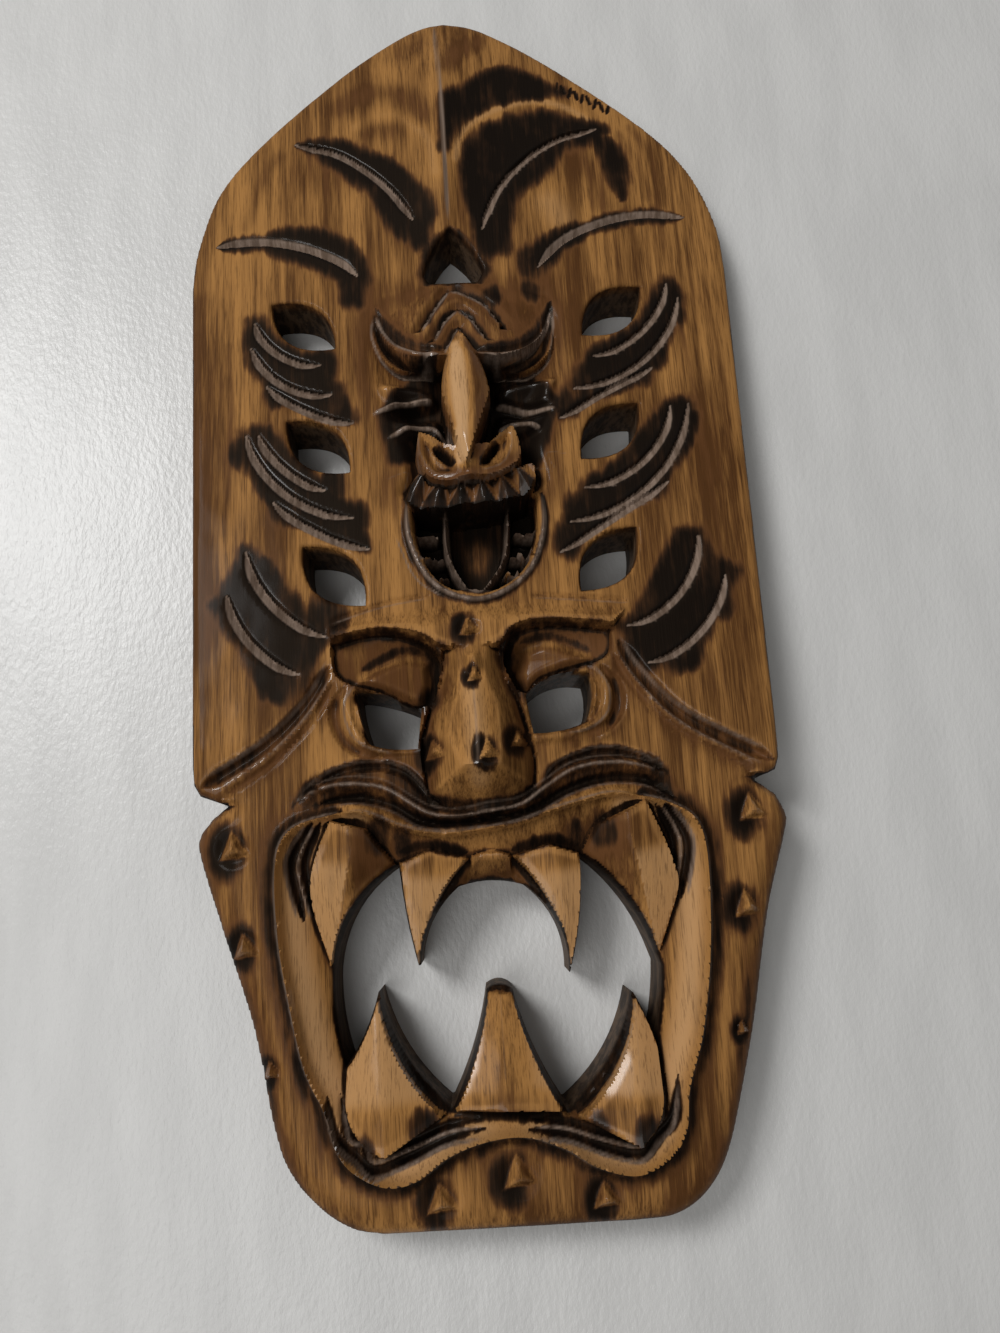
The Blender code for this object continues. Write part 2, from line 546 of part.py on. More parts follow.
def carve_fangs(relief):
    """Two big and two small fangs above, two big ones and a broad tooth below."""
    big = BIG_FANG_SHARE
    small = SMALL_FANG_SHARE
    fang(relief, (bow((-28, -97.5), (-47.8, -127.8), 4.6),
                  through([(-47.8, -127.8), (-50.3, -119.6), (-53, -109.7), (-53.4, -101), (-50.8, -92),
                           (-46.6, -83.6)]), [(-36, -86.5)]),
         (-47.9, -127.8), (-40, -92), big, (0.2, 0.85))
    fang(relief, (through([(46.6, -82.6), (50.2, -91), (53.6, -100), (55.2, -108), (52, -118),
                           (48, -128.4)]), bow((48, -128.4), (27, -97.3), 3.0), [(31.5, -89)]),
         (47.8, -128.3), (41, -93), big, (0.75, 0.2))
    fang(relief, (bow((-6, -96.8), (-22.5, -129), 3.4), bow((-22.5, -129), (-27.2, -97), -0.8),
                  [(-18, -93.6)]), (-22.5, -129), (-20, -97), small, (0.25, 0.15))
    fang(relief, (bow((26.6, -97), (21.5, -132), -1.6), bow((21.5, -132), (6, -96.8), 3.6),
                  [(17, -93.8)]), (21.5, -132), (19, -97), small, (0.15, 0.25))
    fang(relief, (bow((-38, -175), (-45, -163), -1.5), bow((-44.5, -153.5), (-35, -133.5), 1.0),
                  bow((-35, -133.5), (-16.5, -167.6), 3.3), [(-34, -177)]),
         (-35, -133.5), (-34, -168), big, (0.36, 0.36))
    fang(relief, (bow((20, -170.5), (39.5, -138), 3.6), bow((39.5, -138), (45, -153), -0.6),
                  bow((45, -163), (42, -174), -1.0), [(37, -179)]),
         (39.5, -138), (37.5, -169), big, (0.38, 0.38))
    fang(relief, (bow((-14.8, -166.6), (-3.4, -135.2), 1.5), bow((4.4, -135.6), (17.4, -168.6), 1.6),
                  [(1, -166.8)]), (0.5, -134.5), (0.5, -166), big, (0.25, 0.25))


def carve_spikes(relief):
    """Chip-cut spikes down the jaw, on the chin and on the nose."""
    jaw = [(-75.5, -90.5, 4.4), (-72.5, -119, 4.0), (-66, -153.5, 2.8), (79, -87.5, 4.4), (74.5, -115.5, 4.0),
           (70, -150, 2.2), (-19, -190.5, 4.2), (3, -185, 4.6), (27, -192.5, 4.0)]
    nose = [(-15.2, -65.5, 3.2), (0.8, -67.5, 3.0), (10.4, -63.5, 2.8), (-3, -28.6, 3.0)]
    for x, y, size in jaw + nose:
        relief.spike((x, y), size)


def round_edge(relief, depth, radius, drop):
    """Round the front off towards an edge that lies at depth 0."""
    share = 1 - np.clip(depth / drawn(radius), 0, 1)
    relief.z -= drawn(drop) * (1 - np.sqrt(1 - share ** 2))


def carve(x, y, outline, holes):
    """Height of the finished front over the points."""
    relief = Relief(x, y)
    carve_forehead(relief)
    carve_small_head(relief)
    carve_cheeks(relief)
    carve_brows(relief)
    carve_nose(relief)
    carve_lips(relief)
    carve_palate(relief)
    carve_fangs(relief)
    for stroke in feather_strokes():
        relief.groove(stroke, STROKE_GOUGE, 0.18)
    carve_spikes(relief)
    edge = depth_inside(x, y, outline)
    round_edge(relief, np.where(y < -77, edge, np.inf), JAW_ROUND, JAW_ROUND_DROP)
    round_edge(relief, edge, PLANK_ROUND, PLANK_ROUND)
    for hole in holes:
        round_edge(relief, nearest(x, y, hole, closed=True)[0], HOLE_ROUND, HOLE_ROUND)
    return relief.z


# Mesh

def sheet(outline, holes):
    """A flat grid trimmed to the outline and the holes, with its rim vertices set on those lines."""
    grid = drawn(GRID)
    low = outline.min(axis=0)
    high = outline.max(axis=0)
    across, along = np.ceil((high - low) / grid).astype(int) + 1
    bm = bmesh.new()
    bmesh.ops.create_grid(bm, x_segments=int(across), y_segments=int(along), size=0.5)
    centre = (low + high) / 2
    bmesh.ops.scale(bm, verts=bm.verts[:], vec=(across * grid, along * grid, 1))
    bmesh.ops.translate(bm, verts=bm.verts[:], vec=(centre[0], centre[1], 0))
    faces = list(bm.faces)
    middles = np.array([face.calc_center_median()[:2] for face in faces])
    kept = depth_inside(middles[:, 0], middles[:, 1], outline) > 0
    for hole in holes:
        kept &= depth_inside(middles[:, 0], middles[:, 1], hole) < 0
    bmesh.ops.delete(bm, geom=[face for face, keep in zip(faces, kept) if not keep], context="FACES")
    rim = [vert for vert in bm.verts if vert.is_boundary]
    x = np.array([vert.co.x for vert in rim])
    y = np.array([vert.co.y for vert in rim])
    best = np.full(x.shape, np.inf)
    for loop in [outline] + holes:
        distance, _, near_x, near_y = nearest(x, y, loop, closed=True)
        closer = distance < best
        best[closer] = distance[closer]
        for k in np.nonzero(closer)[0]:
            rim[k].co.x = near_x[k]
            rim[k].co.y = near_y[k]
    return bm


def carved_mesh():
    """The sheet drawn out to a slab whose front takes the carved heights."""
    outline = mask_outline()
    holes = side_holes() + [crown_hole()] + eye_holes() + [mouth_hole()]
    bm = sheet(outline, holes)
    front = bmesh.ops.extrude_face_region(bm, geom=bm.faces[:], use_keep_orig=True)
    top = [item for item in front["geom"] if isinstance(item, bmesh.types.BMVert)]
    x = np.array([vert.co.x for vert in top])
    y = np.array([vert.co.y for vert in top])
    for vert, z in zip(top, carve(x, y, outline, holes)):
        vert.co.z = z
    bmesh.ops.recalc_face_normals(bm, faces=bm.faces[:])
    bmesh.ops.triangulate(bm, faces=bm.faces[:])
    middle = (outline.min(axis=0) + outline.max(axis=0)) / 2
    across, along = np.ptp(outline, axis=0)
    unit = MM * LENGTH / along
    bmesh.ops.translate(bm, verts=bm.verts[:], vec=(-middle[0], -middle[1], 0))
    bmesh.ops.scale(bm, verts=bm.verts[:], vec=(MM * WIDTH / across, unit, unit))
    mesh = bpy.data.meshes.new("mask")
    bm.to_mesh(mesh)
    bm.free()
    return mesh


def varnished_wood():
    """Golden brown varnished wood."""
    material = bpy.data.materials.new("wood")
    material.use_nodes = True
    shader = material.node_tree.nodes["Principled BSDF"]
    shader.inputs["Base Color"].default_value = (0.27, 0.15, 0.06, 1)
    shader.inputs["Roughness"].default_value = 0.35
    return material


def main():
    """The mask as one object in its own collection."""
    for old in list(bpy.data.objects):
        bpy.data.objects.remove(old, do_unlink=True)
    mesh = carved_mesh()
    mask = bpy.data.objects.new("mask", mesh)
    collection = bpy.data.collections.new("wooden tribal mask")
    bpy.context.scene.collection.children.link(collection)
    collection.objects.link(mask)
    thin = mask.modifiers.new("fewer facets", "DECIMATE")
    thin.ratio = TRIANGLES / len(mesh.polygons)
    mesh.materials.append(varnished_wood())
    mesh.shade_smooth()


main()
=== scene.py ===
"""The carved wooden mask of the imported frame, dressed with its fine carving, scorched wood and varnish."""

import bmesh
import bpy
import numpy as np
from bpy.props import FloatProperty, FloatVectorProperty, PointerProperty
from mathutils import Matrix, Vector, noise


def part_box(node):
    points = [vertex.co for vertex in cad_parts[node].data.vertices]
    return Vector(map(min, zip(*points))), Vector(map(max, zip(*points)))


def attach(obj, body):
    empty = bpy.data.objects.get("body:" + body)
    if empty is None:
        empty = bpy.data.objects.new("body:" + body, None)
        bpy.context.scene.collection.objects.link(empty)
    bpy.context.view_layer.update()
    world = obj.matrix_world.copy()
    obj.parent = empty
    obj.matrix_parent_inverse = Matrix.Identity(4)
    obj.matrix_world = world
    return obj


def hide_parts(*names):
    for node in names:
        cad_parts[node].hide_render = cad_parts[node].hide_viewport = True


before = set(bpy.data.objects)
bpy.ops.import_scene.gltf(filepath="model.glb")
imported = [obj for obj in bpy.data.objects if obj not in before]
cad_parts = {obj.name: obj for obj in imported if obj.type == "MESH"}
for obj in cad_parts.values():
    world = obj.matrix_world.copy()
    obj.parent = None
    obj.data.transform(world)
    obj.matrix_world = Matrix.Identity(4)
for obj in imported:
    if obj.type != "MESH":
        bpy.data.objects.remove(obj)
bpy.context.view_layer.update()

bl_info = {
    "name": "Carved wooden mask",
    "version": (1, 0, 0),
    "blender": (4, 5, 0),
    "location": "3D View > Sidebar > Mask",
    "description": "A scorched and varnished wooden wall mask with its table top and lights",
    "category": "Object",
}

# Heights over the back as shares of the relief's height
SNOUT_SHARE = 0.863
SMALL_BROW_SHARE = 0.673
SMALL_MOUTH_SHARE = 0.19
NOSE_ROOT_SHARE = 0.716
NOSE_FOOT_SHARE = 0.537
LIP_CREST_SHARE = 0.663
LIP_EDGE_SHARE = 0.432
PALATE_SHARE = 0.579
BIG_FANG_SHARE = 0.726
SMALL_FANG_SHARE = 0.632
FANG_POINT_SHARE = 0.484

# Gouges (width, depth) and ribs (width, height), in the drawing's units of one millimetre
LIP_GOUGE = (3.6, 2.8)
CORNER_GOUGE = (3.0, 1.8)
LID_GOUGE = (4.0, 2.0)
LID_FOLD_GOUGE = (2.2, 1.2)
BROW_GOUGE = (2.4, 0.9)
CHANNEL_GOUGE = (5.0, 3.2)
RIM_GOUGE = (3.2, 2.0)
HORN_GOUGE = (2.6, 1.2)
HORN_FOOT_GOUGE = (2.6, 1.4)
NOSTRIL_GOUGE = (2.4, 4.2)
MARK_GOUGE = (1.2, 0.4)
LIP_RIB = (6.0, 2.4)
MOUSTACHE_RIB = (5.0, 2.6)
TONGUE_RIB = (3.4, 13.0)
GUM_RIB = (2.2, 12.5)
CHEEK_RIB = (3.0, 1.2)
CURLED_LIP_RIB = (2.4, 1.2)
SMALL_LIP_RIB = (3.2, 1.6)
NOSE_ROOT_RIB = (6.0, 2.4)

# Plank and edges, in the same units; STEP is the slope round a form, and a rounding is (reach, drop)
TIP = 203.5
HALF_WIDTH = 91.25
JAW_TOP = -77
STEP = 0.7
RIM_ROUNDING = (2.8, 2.8)
JAW_ROUNDING = (9.0, 6.5)
HOLE_ROUNDING = (0.9, 0.9)
BACK_ROUNDING = 0.9

# Colours of the wood that the finish doesn't offer for change
# The pale wood colour paints the pale growth rings, and also painted highlights on the lit facets of the
# noses, fangs and lips.
PALE_WOOD_AND_HIGHLIGHT = (0.50, 0.29, 0.135, 1)
PORE = (0.050, 0.021, 0.008, 1)
TOASTED_WOOD = (0.115, 0.047, 0.016, 1)
CHARRED_WOOD = (0.026, 0.012, 0.006, 1)
OLD_CUT = (0.115, 0.078, 0.056, 1)
SAWN_WALL = (0.105, 0.064, 0.037, 1)
DARK_WALL = (0.03, 0.018, 0.011, 1)
VARNISH_TINT = (1.0, 0.7, 0.45, 1)

# Name, place, size and share of the window's power of each soft light
LIGHTS = (("window", (-0.78, 0.55, 1.35), 0.5, 1.0), ("ceiling", (-0.6, -0.55, 1.6), 1.0, 0.47))
TABLE_REACH = 1.5
TABLE_GAP = 0.0003


class MaskSizes(bpy.types.PropertyGroup):
    """Sizes of the carving."""

    relief: FloatProperty(name="Relief", description="Height of the nose's tip over the back",
                          default=0.0475, unit="LENGTH")
    crown: FloatProperty(name="Crown", description="Thickness of the plank at its tip",
                         default=0.014, unit="LENGTH")
    crest: FloatProperty(name="Crest", description="Rise of the forehead's crest",
                         default=0.0045, unit="LENGTH")
    stroke_width: FloatProperty(name="Stroke width", description="Width of the long gouge cuts",
                                default=0.0032, unit="LENGTH")
    stroke_depth: FloatProperty(name="Stroke depth", description="Depth of the long gouge cuts",
                                default=0.0019, unit="LENGTH")
    spike: FloatProperty(name="Spikes", description="Height of the chip-cut spikes",
                         default=0.0026, unit="LENGTH")
    scorch: FloatProperty(name="Scorch reach", description="How far the scorching runs from a cut",
                          default=0.0065, unit="LENGTH")
    cell: FloatProperty(name="Cell", description="Mesh cell of the plain wood",
                        default=0.00135, unit="LENGTH")


class WoodFinish(bpy.types.PropertyGroup):
    """Colours and gloss of the wood."""

    golden: FloatVectorProperty(name="Golden wood", description="Lightest wood", subtype="COLOR", size=4,
                                default=(0.37, 0.178, 0.052, 1))
    brown: FloatVectorProperty(name="Brown wood", description="Stained wood", subtype="COLOR", size=4,
                               default=(0.078, 0.031, 0.009, 1))
    scorched: FloatVectorProperty(name="Scorched wood", description="Burnt edges and hollows", size=4,
                                  subtype="COLOR", default=(0.004, 0.0025, 0.002, 1))
    cut: FloatVectorProperty(name="Fresh cut", description="Bare wood inside the gouge cuts", subtype="COLOR",
                             size=4, default=(0.24, 0.175, 0.135, 1))
    roughness: FloatProperty(name="Roughness", description="Roughness under the varnish", default=0.62,
                             subtype="FACTOR", min=0, max=1)
    varnish: FloatProperty(name="Varnish", description="Strength of the varnish coat", default=0.09,
                           subtype="FACTOR", min=0, max=1)


class StageSetting(bpy.types.PropertyGroup):
    """Table top, lights and camera."""

    table: FloatVectorProperty(name="Table top", description="Colour of the pale table top", subtype="COLOR",
                               size=4, default=(0.635, 0.63, 0.615, 1))
    window: FloatProperty(name="Window", description="Power of the soft light from the left", default=16.0,
                          unit="POWER")
    room: FloatProperty(name="Room", description="Strength of the even light all round", default=0.18)
    camera_place: FloatVectorProperty(name="Camera place", description="Where the camera stands", size=3,
                                      default=(-0.0054, -0.10207, 0.33304), subtype="TRANSLATION",
                                      unit="LENGTH")
    camera_turn: FloatVectorProperty(name="Camera turn", description="How the camera is turned", size=3,
                                     default=(0.197901, -0.0224353, -0.0587607), subtype="EULER")
    lens: FloatProperty(name="Lens", description="Focal length in millimetres", default=27.55)


def bow(start, end, sag=0.0, steps=10):
    """A bowed line that sags to the right of the way from start to end."""
    start = np.array(start, float)
    end = np.array(end, float)
    way = end - start
    right = np.array([way[1], -way[0]]) / np.hypot(way[0], way[1])
    middle = (start + end) / 2 + 2 * sag * right
    t = np.linspace(0, 1, steps + 1)[:, None]
    return (1 - t) ** 2 * start + 2 * t * (1 - t) * middle + t ** 2 * end


def through(points, steps=6):
    """A smooth line through the points."""
    points = np.array(points, float)
    ends = np.vstack([2 * points[0] - points[1], points, 2 * points[-1] - points[-2]])
    pieces = []
    for k in range(len(points) - 1):
        a, b, c, d = ends[k:k + 4]
        t = np.linspace(0, 1, steps, endpoint=False)[:, None]
        pieces.append(0.5 * (2 * b + (c - a) * t + (2 * a - 5 * b + 4 * c - d) * t ** 2
                             + (3 * b - a - 3 * c + d) * t ** 3))
    pieces.append(points[-1:])
    return np.vstack(pieces)


def chain(*lines):
    """Lines joined end to end."""
    return np.vstack([np.array(line, float) for line in lines])


def mirrored(line, middle=0.0, lift=0.0):
    """A line turned over the upright line x = middle, and raised by lift."""
    line = np.array(line, float)
    return np.column_stack([2 * middle - line[:, 0], line[:, 1] + lift])


def moved_in(loop, inset):
    """A loop drawn again inside itself by an inset, or outside where that is below 0."""
    along = np.roll(loop, -1, axis=0) - np.roll(loop, 1, axis=0)
    length = np.maximum(np.hypot(along[:, 0], along[:, 1]), 1e-9)
    left = np.column_stack([-along[:, 1], along[:, 0]]) / length[:, None]
    turn = np.sum(loop[:, 0] * np.roll(loop[:, 1], -1) - np.roll(loop[:, 0], -1) * loop[:, 1])
    return loop + np.sign(turn) * inset * left


def ramp(low, high, value):
    """0 below low, 1 above high and a smooth slope between."""
    t = np.clip((value - low) / (high - low), 0, 1)
    return t * t * (3 - 2 * t)


def run_out(share, ends, power):
    """How deep a cut is along its line, from 0 at either end to 1 past the share that its ends take."""
    return np.clip(np.minimum(share, 1 - share) / ends, 0, 1) ** power


def nearest(x, y, line, closed=False):
    """Distance to a line, the share of its length at the nearest point, that point and the line's side."""
    line = np.array(line, float)
    if closed:
        line = np.vstack([line, line[:1]])
    lengths = np.hypot(*np.diff(line, axis=0).T)
    start = np.concatenate([[0], np.cumsum(lengths)])
    distance = np.full(x.shape, np.inf)
    share = np.zeros(x.shape)
    near_x = np.zeros(x.shape)
    near_y = np.zeros(x.shape)
    side = np.zeros(x.shape)
    for k, length in enumerate(lengths):
        if length == 0:
            continue
        dx, dy = line[k + 1] - line[k]
        t = np.clip(((x - line[k, 0]) * dx + (y - line[k, 1]) * dy) / length ** 2, 0, 1)
        px = line[k, 0] + t * dx
        py = line[k, 1] + t * dy
        reach = np.hypot(x - px, y - py)
        closer = reach < distance
        distance[closer] = reach[closer]
        share[closer] = ((start[k] + t * length) / start[-1])[closer]
        near_x[closer] = px[closer]
        near_y[closer] = py[closer]
        side[closer] = (((x - line[k, 0]) * dy - (y - line[k, 1]) * dx) / length)[closer]
    return distance, share, near_x, near_y, side


def depth_inside(x, y, loop):
    """Distance to a closed loop, positive inside it."""
    loop = np.array(loop, float)
    distance = nearest(x, y, loop, closed=True)[0]
    crossed = np.zeros(x.shape, bool)
    for a, b in zip(loop, np.roll(loop, -1, axis=0)):
        if a[1] == b[1]:
            continue
        between = (a[1] > y) != (b[1] > y)
        crossed ^= between & (x < (b[0] - a[0]) * (y - a[1]) / (b[1] - a[1]) + a[0])
    return np.where(crossed, distance, -distance)


# Outline and openings

def mask_outline():
    """The edge of the plank, from the tip down the left side and up the right."""
    crown_left = through([(-0.5, 203.5), (-9, 201.5), (-20, 195), (-40, 179.5), (-65, 156), (-81, 135.5),
                          (-88.5, 113), (-90.3, 98)])
    plate_left = [(-87.6, -66), (-87.2, -71), (-85.3, -74.3), (-78.5, -77)]
    jaw_left = through([(-83, -80.5), (-86.8, -85.5), (-87, -92), (-81, -112), (-72, -141), (-66.5, -170),
                        (-62, -182.5), (-54, -192), (-45, -198), (-36, -200)])
    jaw_right = through([(36, -201), (46, -200.5), (54, -197), (60.5, -190.5), (65, -182), (69, -170),
                         (75.3, -147.7), (82, -118.5), (90, -95), (91, -89), (88.3, -82.5)])
    plate_right = [(82.5, -78), (87.5, -75.8), (89, -72), (89.1, -66)]
    crown_right = through([(92.2, 98), (90.8, 116), (83.5, 137), (69, 156), (40, 181), (20, 195.5),
                           (9, 201.5), (-0.5, 203.5)])
    return chain(crown_left, plate_left, jaw_left, jaw_right, plate_right, crown_right[:-1])


def side_holes():
    """Three leaf-shaped holes down each side."""
    holes = []
    for row in range(3):
        top = (-63.0 + 4.7 * row, 89.2 - 43.6 * row)
        foot = (-42.0 + 3.8 * row, 71.7 - 45.0 * row)
        leaf = chain(bow(top, foot, -7.6, 20), bow(foot, top, -7.6, 20)[1:-1])
        holes.append(leaf)
        holes.append(mirrored(leaf, -0.8, 1.2))
    return holes


def crown_hole():
    """The arched hole at the foot of the forehead crest."""
    return chain(bow((-2.2, 114.5), (-11.8, 97.5), 1.5), [(-10, 94.5), (6.3, 94.5)],
                 bow((8.6, 98.5), (-2.2, 114.5), 1.5)[:-1])


def eye_holes():
    """The two square-cut pupils of the big face."""
    left = chain(bow((-38.3, -45), (-34.3, -62), 0.8)[:-1], bow((-34.3, -62), (-20, -64), 0.8)[:-1],
                 bow((-20, -64), (-18.3, -51.5))[:-1], bow((-18.3, -51.5), (-38.3, -45), 1.0)[:-1])
    right = chain(bow((33.1, -43.5), (31, -58.5), -1.5)[:-1], bow((31, -58.5), (14.8, -61.3), -1.0)[:-1],
                  bow((14.8, -61.3), (13.1, -49.5))[:-1], bow((13.1, -49.5), (33.1, -43.5), -3.0)[:-1])
    return [left, right]


def mouth_hole():
    """The open mouth: its edge runs from gum to fang tip and back all the way round."""
    left_gum = (-27.6, -97.5)
    right_gum = (26.8, -97.3)
    return chain(
        bow(left_gum, (-47.8, -127.8), 4.6)[:-1],
        bow((-47.8, -127.8), (-44.5, -153.5), 1.2)[:-1],
        bow((-44.5, -153.5), (-35, -133.5), 1.0)[:-1],
        bow((-35, -133.5), (-15, -167.3), 3.3)[:-1],
        bow((-15, -167.3), (-3.4, -135.2), 1.5)[:-1],
        bow((-3.4, -135.2), (4.4, -135.6), -1.5, steps=6)[:-1],
        bow((4.4, -135.6), (18, -169.8), 1.6)[:-1],
        bow((18, -169.8), (39.5, -138), 3.6)[:-1],
        bow((39.5, -138), (45, -152.5), -0.6)[:-1],
        bow((45, -152.5), (49, -128.6), 0.8)[:-1],
        bow((48, -128.4), right_gum, 3.0)[:-1],
        bow(right_gum, (21.5, -132), -1.6)[:-1],
        bow((21.5, -132), (10, -105.8), 3.6)[:-1],
        bow((10, -105.8), (-10, -105), 1.6)[:-1],
        bow((-10, -105), (-22.5, -129), 3.2)[:-1],
        bow((-22.5, -129), left_gum, -0.8)[:-1])


class Carving:
    """The carved front over a set of points: its height, how scorched it is, how freshly cut or painted with
    a highlight, and its staining and painted shading.
    """

    def __init__(self, x, y, sizes):
        self.x = x
        self.y = y
        self.sizes = sizes
        self.gouge = (self.mm(sizes.stroke_width), self.mm(sizes.stroke_depth))
        self.z = plank_height(x, y, self.mm(sizes.crown))
        self.scorch = np.zeros(x.shape)
        # Pale fresh cuts and rubbed edges, and painted highlights along some crests.
        self.cut = np.zeros(x.shape)
        # Staining of the wood, and painted shade and painted highlight on facets that face away from or
        # towards the light.
        self.stain_and_shading = np.zeros(x.shape)
        self.lines = []

    def mm(self, size):
        """A size of the panel in the drawing's millimetres."""
        return size * 1000

    def high(self, share):
        """A share of the relief's height."""
        return share * self.mm(self.sizes.relief)

    def near(self, line, reach):
        """The numbers of the points within reach of a line's own box."""
        low = np.min(line, axis=0) - reach
        high = np.max(line, axis=0) + reach
        hit = (self.x > low[0]) & (self.x < high[0]) & (self.y > low[1]) & (self.y < high[1])
        return np.nonzero(hit)[0]

    def groove(self, line, gouge, ends=0.25):
        """A gouge cut along a line, which runs out at both ends."""
        width, depth = gouge
        self.lines.append(line)
        at = self.near(line, width)
        distance, share = nearest(self.x[at], self.y[at], line)[:2]
        fade = run_out(share, ends, 0.6)
        half = width / 2 * np.maximum(fade, 0.05)
        self.z[at] -= depth * fade * np.clip(1 - (distance / half) ** 2, 0, 1)

    def stroke(self, line, gouge, ends, steep):
        """A V cut with one steep wall; steep is -1 for a steep left wall and 1 for a steep right one."""
        width, depth = gouge
        self.lines.append(line)
        at = self.near(line, width)
        distance, share, _, _, side = nearest(self.x[at], self.y[at], line)
        fade = run_out(share, ends, 0.6)
        across = distance / (width * np.where(side * steep > 0, 0.25, 0.75) * np.maximum(fade, 0.05))
        self.z[at] -= depth * fade * np.clip(1 - across, 0, 1)
        pale = ramp(1.15, 0.6, across) * (side * steep < 0.1)
        self.cut[at] = np.maximum(self.cut[at], pale)

    def burn(self, line, reach, strength=1.0, side=0, ends=0.12):
        """Scorching that fades away from a line; side -1 or 1 keeps it on the left or right of the way."""
        at = self.near(line, reach)
        distance, share, _, _, turn = nearest(self.x[at], self.y[at], line)
        fade = run_out(share, ends, 0.5)
        limit = np.where(turn * side < 0, 0.3, 1.0) * reach * np.maximum(fade, 0.05)
        self.scorch[at] = np.maximum(self.scorch[at], strength * ramp(limit, 0.15 * limit, distance))

    def burn_spot(self, point, size, strength=1.0):
        """A round scorch mark, drawn out along the grain."""
        distance = np.hypot(self.x - point[0], 0.7 * (self.y - point[1]))
        self.scorch = np.maximum(self.scorch, strength * ramp(size, 0.3 * size, distance))

    def burn_area(self, loop, fade, strength=1.0):
        """Scorching all over the inside of a loop, which fades away outside it."""
        at = self.near(loop, fade)
        depth = depth_inside(self.x[at], self.y[at], loop)
        self.scorch[at] = np.maximum(self.scorch[at], strength * ramp(-fade, 0.2 * fade, depth))

    def tint(self, line, reach, amount):
        """Darken the wood along a line where the amount is above 0 and make it paler where it is below,
        fading away from the line: the wood's own staining in the growth rings and elsewhere, painted shade
        and painted highlight on the facets of the noses and lips.
        """
        at = self.near(line, reach)
        distance = nearest(self.x[at], self.y[at], line)[0]
        self.stain_and_shading[at] += amount * ramp(reach, 0, distance)

    def bare_and_highlight(self, line, width, amount=1.0, ends=0.1):
        """A pale line: an edge rubbed or cut free of scorch, and at some crests a painted highlight."""
        at = self.near(line, width)
        distance, share = nearest(self.x[at], self.y[at], line)[:2]
        fade = run_out(share, ends, 0.5)
        self.cut[at] = np.maximum(self.cut[at], amount * fade * ramp(0.85 * width, 0.0, distance))

    def rib(self, line, size, ends=0.2):
        """A rounded rib raised along a line."""
        width, height = size
        self.lines.append(line)
        at = self.near(line, width)
        distance, share = nearest(self.x[at], self.y[at], line)[:2]
        fade = run_out(share, ends, 0.6)
        self.z[at] += height * fade * ramp(width / 2, 0, distance)

    def lay(self, loop, height, edge=STEP, scorch=None):
        """Bring the ground inside a loop to a height, and its scorching too where that is given."""
        loop = np.array(loop, float)
        self.lines += [loop, moved_in(loop, edge)]
        at = self.near(loop, 0.0)
        depth = depth_inside(self.x[at], self.y[at], loop)
        share = ramp(0, edge, depth)
        target = height(self.x[at], self.y[at], self.z[at], depth)
        self.z[at] += share * (target - self.z[at])
        if scorch is not None:
            self.scorch[at] += share * (scorch - self.scorch[at])
            self.cut[at] *= 1 - share

    def spike(self, point, size, turn=0.4):
        """A small chip-cut spike: a scorched pit with a three-sided splinter left standing in it."""
        height = self.mm(self.sizes.spike)
        dx = self.x - point[0]
        dy = self.y - point[1]
        at = np.nonzero(np.hypot(dx, dy) < 2 * size)[0]
        distance = np.hypot(dx[at], dy[at])
        angle = np.arctan2(dy[at], dx[at]) + turn
        side = np.cos((angle % (2 * np.pi / 3)) - np.pi / 3)
        pit = 0.35 * height * ramp(1.5 * size, 0.7 * size, distance)
        self.z[at] += 1.5 * height * np.clip(1 - distance * side / (0.62 * size), 0, 1) - pit
        self.burn_spot((point[0] - 0.5 * size, point[1] - 0.1 * size), 1.9 * size, 1.0)
        self.scorch[at] *= 1 - ramp(0.75 * size, 0.5 * size, distance * side)
        self.stain_and_shading[at] += 0.4 * ramp(0.62 * size, 0.45 * size, distance * side)


def plank_height(x, y, crown):
    """The front of the plank before carving: it thickens from the crown towards the jaw."""
    rise = crown + 0.062 * np.clip(TIP - y, 0, 264)
    return rise - 0.05 * np.clip(-121 - y, 0, None) - 2.0 * (x / HALF_WIDTH) ** 2


# Forehead and sides

def carve_forehead(carving):
    """The sharp crest down the middle, which runs out at both ends, and the four long strokes beside it."""
    crest_x = -2.0 - 0.017 * (carving.y - 115)
    fade = ramp(92, 134, carving.y) * ramp(206, 176, carving.y)
    carving.z += carving.mm(carving.sizes.crest) * fade * np.exp(-np.abs(carving.x - crest_x) / 17.0)
    for k, stroke in enumerate(forehead_strokes()):
        carving.stroke(stroke, carving.gouge, 0.12, 1 if k in (1, 2) else -1)
    grow_rings(carving)
    scorch_forehead(carving)
    carve_marks(carving)


